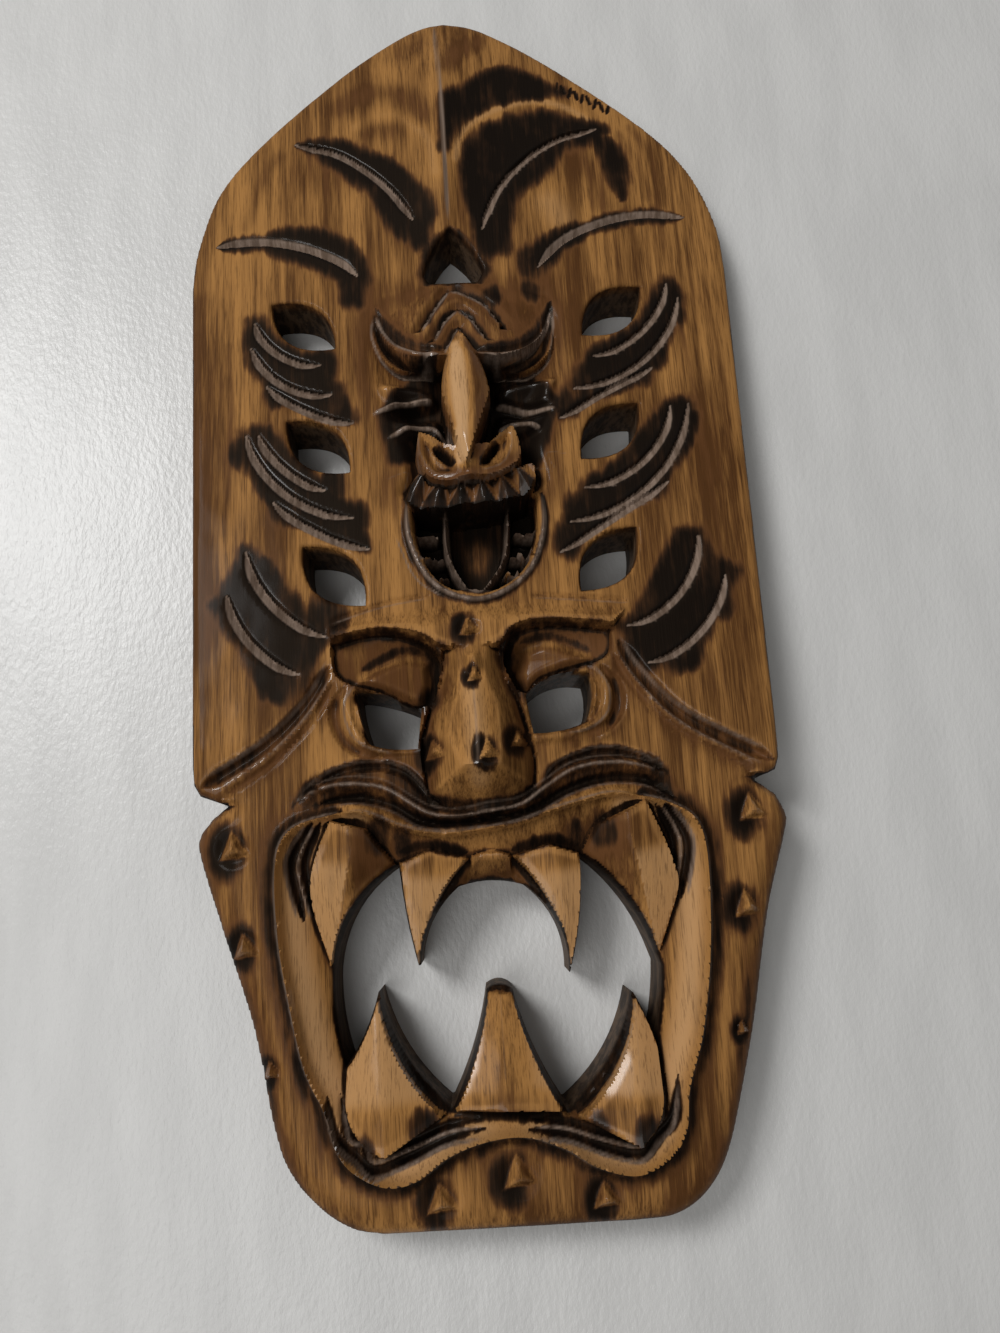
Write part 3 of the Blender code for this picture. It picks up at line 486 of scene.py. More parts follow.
def grow_rings(carving):
    """Growth rings over the forehead, bold on the right and faint on the left, streaks down the sides, and a
    painted highlight down the crest.
    """
    rings = [([(0, 181), (4, 187.5), (11, 192.5)], 6, 1.0),
             ([(1.5, 141), (3.5, 151.5), (11, 159.5), (22, 165), (33, 166.5), (43, 163), (52, 156)],
              3.5, -0.8),
             ([(44, 145), (49, 134), (51, 123)], 6, 0.8),
             ([(60, 152), (65, 140), (67, 126)], 3, 0.5),
             ([(64, 155), (69.5, 145.5), (72, 133.5), (72.5, 123)], 3, 0.6),
             ([(33, 124), (36, 118)], 14, -0.7),
             ([(-38, 167), (-31, 171), (-23, 171.5), (-15, 169), (-9, 161)], 7, 0.8),
             ([(-33, 158), (-24, 161.5), (-16, 159), (-8, 150), (-6, 136)], 5, -0.6),
             ([(-27, 156.5), (-21, 156)], 8, 0.7),
             ([(-18, 188), (-9, 194)], 9, 0.5),
             ([(-48, 140), (-40, 137)], 13, 0.6),
             ([(-60, 148), (-66, 138), (-72, 120)], 4, 0.5),
             ([(-86, 92), (-86, 50), (-86, 0), (-85, -30)], 6, 0.35),
             ([(-77, 74), (-77, 30), (-78, 8)], 3, 0.5),
             ([(84, 92), (86, 50), (87, 10), (87, -30)], 5, 0.3),
             ([(72, 78), (76, 50), (78, 20)], 5, 0.6)]
    for points, reach, amount in rings:
        carving.tint(through(points), reach, amount)
    # Painted highlight down the forehead's crest.
    carving.bare_and_highlight(bow((-3.4, 203), (-2.1, 116)), 1.5, 1.0)


def scorch_forehead(carving):
    """Black scorching that hugs the crest, the long strokes and the crown hole."""
    left, low_left, right, low_right = forehead_strokes()
    for line, reach in ((left, 5.5), (low_left, 5), (right, 6), (low_right, 5)):
        carving.burn(line, reach, 0.95)
    zones = [([(-2, 146), (-1.2, 158), (-0.5, 167), (8, 172.5), (15.5, 178), (22, 179.5), (30, 175.5),
               (38.5, 172), (40, 170.5), (27.5, 169), (18.5, 166), (9.5, 162.5), (2.5, 156)], 5, 0.95),
             ([(6, 129), (6, 139), (7.5, 146), (12.5, 153.5), (22, 159), (34, 160), (46, 157), (53, 154),
               (46.5, 149.5), (39, 147), (32.5, 138.5), (27, 134), (22, 128), (18, 122.5), (15.5, 107),
               (11.5, 106), (8, 112.5), (6, 121)], 6, 1.0),
             ([(-50, 152.5), (-38, 151), (-28.5, 145.5), (-23, 142), (-15.5, 135), (-10, 127), (-9, 120),
               (-11, 114), (-16.5, 112), (-20, 115), (-24, 123.5), (-28.5, 131.5), (-36, 140),
               (-46, 147)], 5, 1.0),
             ([(-66, 113), (-60, 116.5), (-47, 116), (-38, 111), (-33, 104), (-31.5, 97), (-33.5, 88),
               (-38, 89), (-39, 98), (-49, 105), (-63, 110)], 5, 1.0),
             (chain(low_right[9:], [(26, 98), (24, 101), (30, 108), (40, 113)]), 6, 1.0)]
    for zone, fade, strength in zones:
        carving.burn_area(zone, fade, strength)
    carving.burn(through([(50, 154), (55.5, 145), (58, 134), (59, 124)]), 7, 0.75, 0, 0.3)
    carving.burn(chain(crown_hole(), crown_hole()[:1]), 4.0, 0.7)
    for point, size in (((-13, 114), 7), ((10, 110), 8), ((26, 101), 8)):
        carving.burn_spot(point, size, 0.8)


def mark_height(x):
    """How high up the row of short strokes runs, along the right rim of the crown."""
    return 172.6 - 0.55 * (x - 39.0)


def carve_marks(carving):
    """A row of short shallow strokes that lean to either side in turn."""
    for k in range(9):
        x = 39.0 + 2.2 * k
        y = mark_height(x)
        lean = 0.6 - 1.2 * (k % 2)
        mark = bow((x - lean, y - 2.0), (x + lean, y + 2.0), 0.2, 4)
        carving.groove(mark, MARK_GOUGE, 0.2)
        carving.burn(mark, 0.9, 1.0)


def carve_feathers(carving):
    """The bowed strokes below the side holes, with scorched wood between them."""
    strokes = feather_strokes()
    for k, stroke in enumerate(strokes):
        side = 1 if k < 8 else -1
        carving.stroke(stroke, carving.gouge, 0.18, -side)
        carving.burn(stroke, carving.mm(carving.sizes.scorch), 0.95, -side, 0.05)
        carving.burn_spot(stroke[1], 6.0, 0.75)
    for first, second in ((0, 1), (3, 4), (6, 7), (8, 9), (11, 12), (14, 15)):
        carving.burn_area(chain(strokes[first], strokes[second][::-1]), 5.5)
    for first, second in ((1, 2), (4, 5), (9, 10), (12, 13)):
        carving.burn_area(chain(strokes[first][3:], strokes[second][:1:-1]), 3.0, 0.75)
    zones = [[(-70, 77), (-68, 83), (-61.5, 73), (-47, 65), (-41, 56), (-36.5, 45), (-50.5, 49.5),
              (-63.5, 57), (-70, 70)],
             [(-74, 39), (-69.5, 43), (-65, 43), (-55.5, 31.5), (-45, 20), (-36.5, 11.5), (-34, 1), (-47, 8),
              (-58.5, 11.5), (-64.5, 20), (-71, 29.5)],
             [(-81.5, -15.5), (-75.5, -12), (-69, -2), (-64.5, -2), (-58.5, -13), (-49, -26), (-47.5, -29),
              (-56, -30.5), (-54.5, -39.5), (-60, -46.5), (-65, -45), (-70.5, -33.5), (-78, -22)]]
    for zone in zones:
        carving.burn_area(zone, 4, 0.9)
        carving.burn_area(mirrored(zone, 0.5, 3), 4, 0.9)
    spots = [((-45, 65), 7), ((-42, 55), 5), ((-44, 22), 7), ((-36, 11), 6), ((-46, -22), 9),
             ((-57, -38), 10), ((-65, -32), 7), ((-71, -8), 9), ((-74, -20), 6), ((-72, 36), 7),
             ((41, 56), 8), ((34, 48), 6), ((35, 10), 8), ((30, 0), 7), ((50, -36), 9), ((59, -37), 8),
             ((70, -12), 8), ((76, -22), 7)]
    for point, size in spots:
        carving.burn_spot(point, size, 0.85)


def forehead_strokes():
    """The four long gouge cuts of the forehead: left ones, then right ones."""
    left = [(-54.6, 152.5), (-41.6, 149), (-31.1, 141.7), (-22, 132.2), (-16.6, 123.7), (-14.3, 118.2)]
    low_left = [(-81.2, 112.8), (-66.3, 113), (-53.2, 110), (-41.5, 104.4), (-33.9, 98.2)]
    right = [(51.8, 154.6), (38.6, 151.6), (25.7, 143), (15.7, 131.2), (10.4, 120), (9.2, 114)]
    low_right = [(79.2, 117.4), (63.2, 118), (49.5, 114.9), (36.9, 108.7), (27.5, 99.2)]
    return [through(left, 3), through(low_left, 4), through(right, 3), through(low_right, 4)]


def feather_strokes():
    """The bowed gouge cuts below each side hole: left ones, then right ones."""
    left = [((-68.8, 82.5), (-47.2, 65.3), 4.0), ((-69.7, 73), (-43.2, 54.3), 5.0),
            ((-64.7, 58.6), (-36.7, 43.6), 2.0), ((-67.6, 41.7), (-45.8, 20.4), 2.8),
            ((-71.5, 41.3), (-37.5, 10.6), 6.6), ((-62.7, 17.3), (-32.7, 0), 2.0),
            ((-71.4, 1), (-46.9, -27.9), 4.5), ((-77.1, -13), (-55, -39.4), 4.0)]
    right = [((70.5, 91.3), (43.1, 64.3), 5.0), ((74, 85.4), (36.1, 52.8), 7.6),
             ((63, 59.6), (30.7, 42.2), -1.2), ((67.4, 45.6), (36.8, 17.4), 6.3),
             ((73.2, 45.6), (30.9, 5.8), 9.0), ((63.9, 18.4), (27.5, -4.1), -0.6),
             ((71.5, 0.1), (46, -29.4), 6.0), ((78.6, -13.9), (51.7, -41.4), 5.0)]
    strokes = [bow(start, end, sag) for start, end, sag in left]
    return strokes + [bow(start, end, -sag) for start, end, sag in right]


# Small head

def small_crest(carving, y):
    """Height of the small head down its middle, from the crown hole to its lip."""
    snout = carving.high(SNOUT_SHARE)
    brow = carving.high(SMALL_BROW_SHARE)
    return np.interp(-y, [-94, -82, -70, -60, -46, -30, -17],
                     [0.69 * brow, 0.84 * brow, brow, 0.88 * snout, 0.95 * snout, snout, 0.976 * snout])


def carve_small_head(carving):
    """A horned head with a long nose, flared nostrils, a fan of teeth and an open lower jaw."""
    pit = through([(-27, 92), (-32.5, 78), (-32.7, 62), (-28.8, 48.5), (-24.8, 38.6), (-21.9, 28), (-22, 15),
                   (23, 15), (24.7, 33), (28.5, 42), (33, 52), (35.6, 65), (35, 80), (30, 92)])

    def sunk(x, y, z, depth):
        return z - 9.0 * ramp(0, 12, depth) * (1 - 0.5 * ramp(50, 58, y) * ramp(5, 15, np.abs(x)))

    carving.lay(pit, sunk)
    carving.tint(chain(pit, pit[:1]), 8, 0.7)
    for zone in ([(-16, 61), (-9, 61), (-7, 40), (-3, 22), (-14, 30), (-24, 30), (-26, 38), (-27, 46)],
                 [(4, 61), (14, 60), (24, 56), (30, 49), (26, 38), (20, 24), (8, 20), (6, 40)]):
        carving.burn_area(zone, 3.5)
    carve_small_brow(carving)
    carve_horns(carving)
    carve_small_cheeks(carving, pit)
    carve_muzzle(carving)
    carve_small_jaw(carving)


def carve_small_brow(carving):
    """The brow of the small head: a wide foot level with the plank and a rounded front on it."""
    crown = carving.mm(carving.sizes.crown)
    top = [(12, 93.5), (-13, 93.5)]
    foot = chain(through([(-28.5, 90), (-30, 76), (-28, 68.5), (-24, 63.6), (-18.5, 61), (-8, 60.5)]),
                 through([(3.8, 60), (11, 60), (18.5, 59), (23.3, 60.5), (28.3, 65), (30.8, 71), (31, 88)]),
                 top)
    brow = chain(through([(-29, 90), (-28.3, 78), (-24.5, 68.5), (-18, 62.5), (-8, 60)]),
                 through([(3.8, 60), (11, 60), (19.5, 63.3), (27, 71.5), (30.5, 87)]), top)

    def rounded(x, y, z, depth):
        crest = small_crest(carving, np.maximum(y, 58)) - 0.22 * np.abs(x + 1)
        return np.maximum(plank_height(x, y, crown), crest)

    carving.lay(foot, lambda x, y, z, d: np.maximum(z, plank_height(x, y, crown) - 0.5), scorch=0.0)
    carving.lay(brow, rounded, scorch=0.0)
    at = carving.near(brow, 0.0)
    carving.stain_and_shading[at] += 0.55 * ramp(0, 3, depth_inside(carving.x[at], carving.y[at], brow))


def carve_small_cheeks(carving, pit):
    """Two swollen cheeks on each side of the nose, with pale ridges across them."""
    cheeks = [through([(-31, 58), (-22, 58.5), (-10, 56), (-9, 50), (-20, 47), (-29.5, 46)]),
              through([(-28, 45), (-20, 46), (-9, 47), (-6.5, 38), (-12, 36), (-24.5, 37)])]

    def swollen(x, y, z, depth):
        return z + 4.5 * ramp(0, 3.5, depth) * ramp(1, 7, depth_inside(x, y, pit))

    for cheek in cheeks:
        carving.lay(cheek, swollen)
        carving.lay(mirrored(cheek, 0.6), swollen)
    for line in ([(-30, 46.5), (-22.3, 49.8), (-16.3, 51.5), (-10.5, 52.1)],
                 [(-25.5, 37.6), (-18.8, 41.2), (-11.4, 42), (-6.6, 37.1), (-3.4, 28.4)],
                 [(9.8, 50.8), (16.9, 48.7), (23.5, 46.8), (29.5, 46)],
                 [(10, 40), (16.5, 42.2), (24, 39)]):
        carving.rib(through(line), CHEEK_RIB)
        carving.bare_and_highlight(through(line), 1.7, 1.0)


def carve_horns(carving):
    """The brow's two horns between double curved cuts, and the folded chevrons over the nose."""
    horns = [([(-29, 83), (-29.9, 76), (-27.9, 68.6), (-24.3, 63.5), (-18.5, 60.7), (-9, 61)],
              [(-28.3, 83), (-26.1, 75.8), (-22.3, 69.1), (-17.9, 65.3), (-12.1, 62.4), (-5.8, 61.9)]),
             ([(30.9, 83), (30.8, 76.5), (28.4, 64.6), (22.9, 59.9), (18.3, 58.5), (9, 60)],
              [(30.5, 83), (28, 75), (24.2, 68.2), (18.6, 63.6), (11.7, 61.2), (4.2, 61)])]
    for outer, inner in horns:
        outer, inner = through(outer), through(inner)
        middle = (outer + inner) / 2
        carving.groove(middle, HORN_GOUGE, 0.15)
        carving.groove(inner + (0, 1.8), HORN_FOOT_GOUGE, 0.15)
        carving.burn(inner + (0, 2.8), 4.5, 0.7, 0, 0.3)
        carving.burn(middle, 1.6, 0.85)
        carving.tint(middle, 5, 0.9)
        carving.bare_and_highlight(inner, 1.4, 0.9)
        carving.bare_and_highlight(outer, 1.2, 0.7)
    folds = [([(-13, 73.5), (-8.9, 82), (-3.5, 90.5)],
              [(-3.5, 90.5), (2.7, 87.8), (8.5, 83.6), (13, 75.5)], 3.2),
             ([(-9, 68), (-5.8, 75.6), (-1.1, 80.8)], [(-1.1, 80.8), (3.6, 76.4), (7.8, 67.8)], 3.0),
             ([(-5.8, 62.5), (-3.5, 67.9), (-1.1, 72.2)], [(-1.1, 72.2), (1.6, 66.9), (4.5, 61.6)], 2.4)]
    for left, right, drop in folds:
        left, right = through(left), through(right)
        loop = chain(left, right[1:], [(right[-1][0], 60), (left[0][0], 60)])
        at = carving.near(loop, 5.0)
        outside = -depth_inside(carving.x[at], carving.y[at], loop)
        carving.z[at] -= drop * ramp(4.5, 0.0, outside) * (outside > 0) * (carving.y[at] > left[0][1] - 1)
        for line in (left, right):
            carving.burn(line + (0, 0.8), 2.8, 0.9)
            carving.bare_and_highlight(line - (0, 1.2), 1.4, 0.7)
            carving.lines.append(line)
    carving.tint(through([(12, 84), (17, 74), (25, 74)]), 10, 0.8)
    carving.tint(through([(-25, 78), (-18, 70), (-10, 66)]), 7, 0.6)
    for spot, size, strength in (((11, 88), 5, 0.9), ((24, 90), 5, 0.7), ((0, 93), 4, 0.8)):
        carving.burn_spot(spot, size, strength)


def carve_muzzle(carving):
    """The long nose, the flared nostrils at its foot and the curled lip below."""
    muzzle = through([(-16.2, 37.5), (-17.4, 28), (-15.8, 22), (-12.1, 18), (-6, 16.2), (1, 17.2), (6, 17.4),
                      (12.5, 20.2), (17.5, 26), (15, 37), (9.5, 34), (5, 30), (-5.5, 30), (-10.5, 34),
                      (-16.2, 37.5)])
    carving.lay(muzzle, lambda x, y, z, d: small_crest(carving, y) - 1.5 - 0.35 * np.abs(x), 1.2, scorch=0.15)
    cups = [(through([(-15.5, 36.5), (-15, 27.5), (-10.5, 20.5), (-4.2, 20.6), (-8, 29), (-15.5, 36.5)]),
             [(-11, 29.5), (-7.5, 26), (-4.6, 22.2)]),
            (through([(13.8, 36), (13.4, 28.5), (9.8, 22.6), (2.8, 20.8), (7, 29.5), (13.8, 36)]),
             [(9.5, 30), (6.8, 26.4), (3.6, 22.4)])]
    for cup, crack in cups:
        carving.lay(cup, lambda x, y, z, d: z - 3.0 * ramp(0, 2.6, d), 0.9, scorch=0.0)
        carving.groove(through(crack), NOSTRIL_GOUGE, 0.3)
        carving.burn(through(crack), 2.0, 1.0)
        carving.bare_and_highlight(cup[:-12], 1.1, 0.45)
    nose = chain(bow((-1.1, 71), (-8.2, 47), 1.6), bow((-8.2, 47), (-1.4, 20), 0.5)[1:],
                 bow((-1.0, 20), (8.4, 47), 0.5), bow((8.4, 47), (-1.1, 71), 1.6)[1:-1])

    def facets(x, y, z, depth):
        flat = np.maximum(np.abs(x - 0.2) - 2.4 * ramp(71, 52, y) * ramp(16, 40, y), 0)
        return small_crest(carving, y) + 1.5 - 0.75 * flat

    carving.lay(nose, facets, scorch=0.0)
    # Painted highlight on the nose's left facet, which faces the light, and painted shade on its right facet
    # and left flank.
    for line, reach, amount in (([(-2.5, 64), (-2, 50), (-1.5, 24)], 5.0, -1.8),
                                ([(3, 64), (6, 50), (2.5, 26)], 5.0, 1.7),
                                ([(-5.5, 60), (-8, 48), (-5, 34)], 3.0, 1.2)):
        carving.tint(through(line), reach, amount)
    lip = through([(-16.6, 30), (-15.6, 23.4), (-12.2, 18.7), (-6.5, 16.9), (-2, 17.8), (4.7, 18),
                   (11.3, 20.8), (18.4, 25.4)])
    carving.rib(lip, CURLED_LIP_RIB, 0.1)
    carving.bare_and_highlight(lip, 1.2, 0.5)
    carving.tint(lip + (0, 1.0), 5, 1.0)


def carve_small_jaw(carving):
    """The small mouth: a fan of teeth over a deep hollow with a tongue and ribs inside a round lip."""
    floor = carving.high(SMALL_MOUTH_SHARE)
    hollow = chain(through([(-19, 15.5), (-18.8, 4), (-15, -7), (-9, -13.8), (0.5, -16.8), (10, -13.8),
                            (17, -7), (21, 4), (21.2, 15.5)]), [(15, 17.5), (-14, 16.5)])
    carving.lay(hollow, lambda x, y, z, d: floor + 0 * x, 1.6, scorch=1.0)
    tongue = through([(-8.6, 13), (-8.4, 0), (-5.3, -8.7), (0, -14.9), (6.2, -9.3), (10.4, -1.3), (11.8, 13)])
    carving.rib(tongue, TONGUE_RIB, 0.02)
    carving.bare_and_highlight(tongue, 2.4, 1.0)
    carving.scorch -= 0.55 * ramp(7.5, 2, np.hypot(carving.x - 1.5, 0.8 * (carving.y - 0.5)))
    for y, left, right in ((4.5, -18, 20), (-3.5, -16, 18), (-10, -11.5, 13.5)):
        inner = 11.0 - 0.2 * abs(y - 4.5)
        for start, end in (((left, y), (-inner, y + 0.5)), ((right, y - 0.5), (inner + 2, y))):
            carving.rib(bow(start, end), GUM_RIB, 0.02)
            carving.bare_and_highlight(bow(start, end), 1.6, 1.0)
    for tooth in ([(-16.5, -4.5), (-16, -2), (-10.3, -1.6)], [(17, -6.5), (15.5, -2.5), (12.2, -1.6)],
                  [(-12.5, -11.5), (-11, -9), (-8, -9.6)], [(13.2, -12), (11, -8), (8, -9)]):
        carving.lay(tooth + [tooth[0]], lambda x, y, z, d: floor + 15 + 0 * x, 0.6, scorch=0.0)
        carving.bare_and_highlight(np.array(tooth), 2.0, 1.0)
    lip = through([(-20.4, 16), (-20.2, 4), (-16.4, -7.6), (-10, -15), (0.5, -18.4), (11, -15),
                   (18.4, -7.6), (22.4, 4), (22.6, 16)])
    carving.burn(lip, 3.2, 0.85, 1, 0.1)
    carving.rib(lip, SMALL_LIP_RIB, 0.05)
    carving.bare_and_highlight(lip, 2.0, 0.8)
    # Painted highlight just outside the small mouth's lip.
    carving.bare_and_highlight(through([(-24.3, 3.5), (-18.8, -10.1), (-10.6, -17.1)]), 1.0, 0.7)
    carve_small_teeth(carving, floor)


def carve_small_teeth(carving, floor):
    """A fan of pleats below the curled lip, spread round one point, with scorched folds between them."""
    spread_x, spread_y = 0.5, 48
    pitch = 0.21
    fan = chain(through([(-15.8, 23), (-12.2, 18.4), (-6.5, 16.8), (-2, 17.6), (4.7, 17.9), (11.3, 20.6),
                         (18.6, 25.2)]),
                through([(21.5, 24), (20.6, 18), (16.8, 13.6), (6, 11.2), (-5.7, 10.4), (-15.5, 10.8),
                         (-20.6, 14), (-19, 19.5)]))
    at = carving.near(fan, 0.0)
    across = carving.x[at] - spread_x
    down = spread_y - carving.y[at]
    pleat = (np.arctan2(across, down) / pitch) % 1
    away = np.hypot(across, down)

    def pleats(x, y, z, depth):
        fold = np.abs(pleat - 0.5) * 2
        return carving.high(SNOUT_SHARE) - 6.0 - 0.012 * (away - 30) ** 2 - 0.16 * np.abs(x) - 2.4 * fold

    carving.lay(fan, pleats, 0.4, scorch=0.0)
    depth = depth_inside(carving.x[at], carving.y[at], fan)
    low = np.clip((away - 29) / 8, 0, 1)
    dark = ramp(0.08, 0.0, np.abs(pleat - 0.5) - 0.45 * low) * (depth > 0)
    carving.scorch[at] = np.maximum(carving.scorch[at], 0.8 * dark)
    carving.stain_and_shading[at] += 0.3 * (depth > 0)
    wall = (depth > 0) * (depth < 0.75) * (carving.y[at] < 15)
    carving.scorch[at] = np.maximum(carving.scorch[at], 1.2 * wall)
    for step in range(-4, 5):
        for lean in (-0.45, 0.45):
            edge = [(29.5, pitch * (step + 0.5)), (36.5, pitch * (step + 0.5 + lean))]
            carving.bare_and_highlight([(spread_x + reach * np.sin(turn), spread_y - reach * np.cos(turn))
                          for reach, turn in edge], 0.8, 0.45)


# Big face

def nose_crest(carving, y):
    """Height of the big nose down its middle."""
    root = carving.high(NOSE_ROOT_SHARE)
    tip = carving.high(1)
    lip = carving.high(LIP_CREST_SHARE)
    return np.interp(-y, [18, 30, 42, 60, 74, 78.5, 84.5],
                     [root - 6.5, root - 1, root + 2.5, tip - 5, tip, tip - 1, lip - 2])


def carve_brows(carving):
    """Two heavy brows that meet over the nose, with a deep socket below each."""
    top = [(-46, -25), (-29.8, -20.4), (-12, -17.6), (0, -17.4), (12, -18.6), (34.6, -21.3), (47.5, -22.8)]
    under_left = [(-45.5, -30), (-32.3, -27.4), (-19.6, -29.3), (-11.8, -34)]
    under_right = [(41.5, -29.5), (25.2, -27.2), (12.5, -28.2), (6.7, -34)]
    brow = chain(through(top), through(under_right), [(-2.5, -36)], through(under_left[::-1]))
    carving.lay(brow, lambda x, y, z, d: z + 5.0 * ramp(-18, -27, y + 0.09 * np.abs(x)))
    for under in (under_left, under_right):
        carving.burn(through(under) - (0, 0.8), 2.6, 0.6)
    carve_sockets(carving)
    for line in ([(-45.5, -24), (-30, -19.5), (-14, -17)], [(16, -18.5), (35, -20.5), (48, -22)]):
        carving.groove(through(line) + (0, 0.8), BROW_GOUGE, 0.1)
        carving.bare_and_highlight(through(line), 1.3, 0.5)


def carve_sockets(carving):
    """A socket that deepens towards the nose below each brow, and the round lid in it."""
    sockets = [(through([(-45.5, -30), (-32.3, -27.6), (-19.6, -29.5), (-12.5, -34.5), (-12.3, -42),
                         (-17, -51.5), (-30, -46.6), (-43.5, -41), (-45.5, -30)]), -45.5, 33.0),
               (through([(41.3, -29.7), (25.2, -27.4), (12.5, -28.6), (7.4, -34.5), (8, -42),
                         (12.8, -49), (20, -44), (38.5, -39), (41.3, -29.7)]), 41.3, -34.0)]
    for socket, outer, width in sockets:
        carving.lay(socket, lambda x, y, z, d: z - 3.0 - 9.0 * np.clip((x - outer) / width, 0, 1)
                    * ramp(-27, -38, y))
        at = carving.near(socket, 0.0)
        inside = ramp(-1, 2, depth_inside(carving.x[at], carving.y[at], socket))
        carving.stain_and_shading[at] += 0.75 * inside
        carving.scorch[at] = np.maximum(carving.scorch[at], 0.12 * inside)
    lids = [([(-38, -40.5), (-30, -36), (-23, -33.8), (-15, -35.2)],
             [(-14.5, -44), (-18.6, -51), (-30, -46.4), (-40, -43)]),
            ([(36, -38), (29, -34.5), (21, -31.8), (12.5, -33.5)],
             [(10, -42), (13.4, -48.5), (20, -44), (36, -39.6)])]
    for top, foot in lids:
        top, foot = through(top), through(foot)
        carving.lay(chain(top, foot), lambda x, y, z, d: z + 3.2 * ramp(0, 4.0, d))
        carving.burn(top[1:] + (0, 1.6), 2.2, 0.7)
        carving.tint(top[1:] - (0, 0.8), 2.5, -0.9)
        carving.burn(foot[6:], 2.5, 0.55)
    for corner in ((-13, -37), (8, -37), (-16, -49), (11, -47)):
        carving.burn_spot(corner, 5, 0.7)


def carve_nose(carving):
    """The long nose, its square root between the brows and the sloping cut under its tip."""
    nose = chain(through([(-10.5, -14), (-10.8, -26), (-11.8, -36), (-13, -44), (-17, -53), (-19.3, -62),
                          (-19, -71), (-18, -78)]),
                 through([(-12, -82.5), (0, -84.3), (10, -81.5)]),
                 through([(15, -77), (15.6, -69), (13.6, -58), (11, -49), (7.6, -42), (6.6, -34),
                          (6.5, -26), (6.5, -14)]))

    def roof(x, y, z, depth):
        ridge = nose_crest(carving, y) - 0.42 * np.abs(x + 2.2 + 0.02 * (y + 40))
        target = np.minimum(ridge, carving.high(NOSE_FOOT_SHARE) + 1.55 * depth)
        return np.where(y > -34, np.maximum(z, target), target)

    carving.lay(nose, roof)
    carving.rib(bow((-2.3, -36.5), (-1.8, -43)), NOSE_ROOT_RIB, 0.3)
    under_tip = [(-17, -78.5), (-8, -80.5), (0, -81), (8, -80), (14, -77), (15, -80), (0, -86), (-18, -82)]
    carving.burn_area(under_tip, 2.0, 0.85)
    # Painted highlight down the nose's ridge.
    carving.tint(through([(-3, -46), (-2.5, -60), (-2, -74)]), 8, -0.9)
    carving.bare_and_highlight(through([(-2.6, -47), (-2.3, -60), (-2.4, -72)]), 1.5, 0.5)
    # Painted shade on the nose's side facets.
    for side in (through([(-13, -46), (-17, -55), (-19, -64), (-18, -76)]),
                 through([(8, -44), (12.5, -55), (15.3, -66), (14, -76)])):
        carving.tint(side, 7, 0.8)


def cheek_channels():
    """The curved channels that part the plank from the jaw: the left one, then the right one."""
    return [through([(-46, -37), (-54, -49.5), (-66, -61), (-84.5, -72)]),
            through([(42.5, -33.5), (50, -46), (62, -59), (86.5, -73)])]


def carve_cheeks(carving):
    """The lower lids, the channels with the ribs beside them, and the jaw's lower ground and dark edges."""
    for line in ([(-41, -43.5), (-44.8, -50), (-43.7, -57.5), (-39, -63), (-29, -66.2)],
                 [(36, -40.5), (41.2, -48), (41, -55.5), (35.5, -61), (26, -63)]):
        carving.groove(through(line), LID_GOUGE, 0.2)
        carving.groove(through(line) * (0.86, 0.97), LID_FOLD_GOUGE, 0.2)
        carving.tint(through(line), 6, 0.8)
        carving.bare_and_highlight(through(line) * (0.93, 0.985), 1.2, 0.6)
    rim_left = through([(-44.5, -42), (-51, -53), (-63, -65.5), (-80, -76)])
    rim_right = through([(40.5, -37.5), (47.5, -50), (59, -62.5), (81, -76)])
    for channel, rim in zip(cheek_channels(), (rim_left, rim_right)):
        carving.groove(channel, CHANNEL_GOUGE, 0.1)
        carving.groove(rim, RIM_GOUGE, 0.1)
        carving.tint((channel + rim) / 2, 8, 0.9)
        carving.burn(channel, 3.2, 0.6)
        carving.bare_and_highlight((channel + rim) / 2, 1.6, 0.6)
        carving.bare_and_highlight(channel + (0, 2.4), 1.5, 0.6)
    jaw = chain(rim_left, [(-100, -82), (-100, -210), (100, -210), (100, -80)], rim_right[::-1],
                [(36, -62), (-36, -64)])
    carving.lay(jaw, lambda x, y, z, d: z - 1.6, 2.5)
    for edge in (through([(-84, -88), (-77, -115), (-69, -144), (-64, -170), (-57, -187), (-44, -195)]),
                 through([(88, -88), (79, -117), (71, -148), (66, -171), (57, -190), (45, -197)])):
        carving.tint(edge, 8, 0.7)
        carving.burn(edge[8:-6], 3.0, 0.35)


def outer_lip():
    """The sharp crest of the lips, once round the mouth."""
    left = [(-43.5, -81.3), (-55.5, -84), (-61, -88.5), (-63.2, -98), (-62.6, -116), (-60, -133),
            (-56, -152), (-50.6, -164), (-48.2, -173), (-43.2, -180), (-34, -184.6), (-25, -183.5)]
    bottom = [(-16, -178), (-6, -174.8), (5, -174.2), (16, -178)]
    right = [(25, -183.5), (36, -186), (45.5, -181.8), (50.6, -174.5), (52.4, -164), (57.4, -150),
             (61, -133), (63, -116), (63.6, -98), (61, -88.8), (54, -84), (44.4, -81)]
    return through(left + bottom + right)


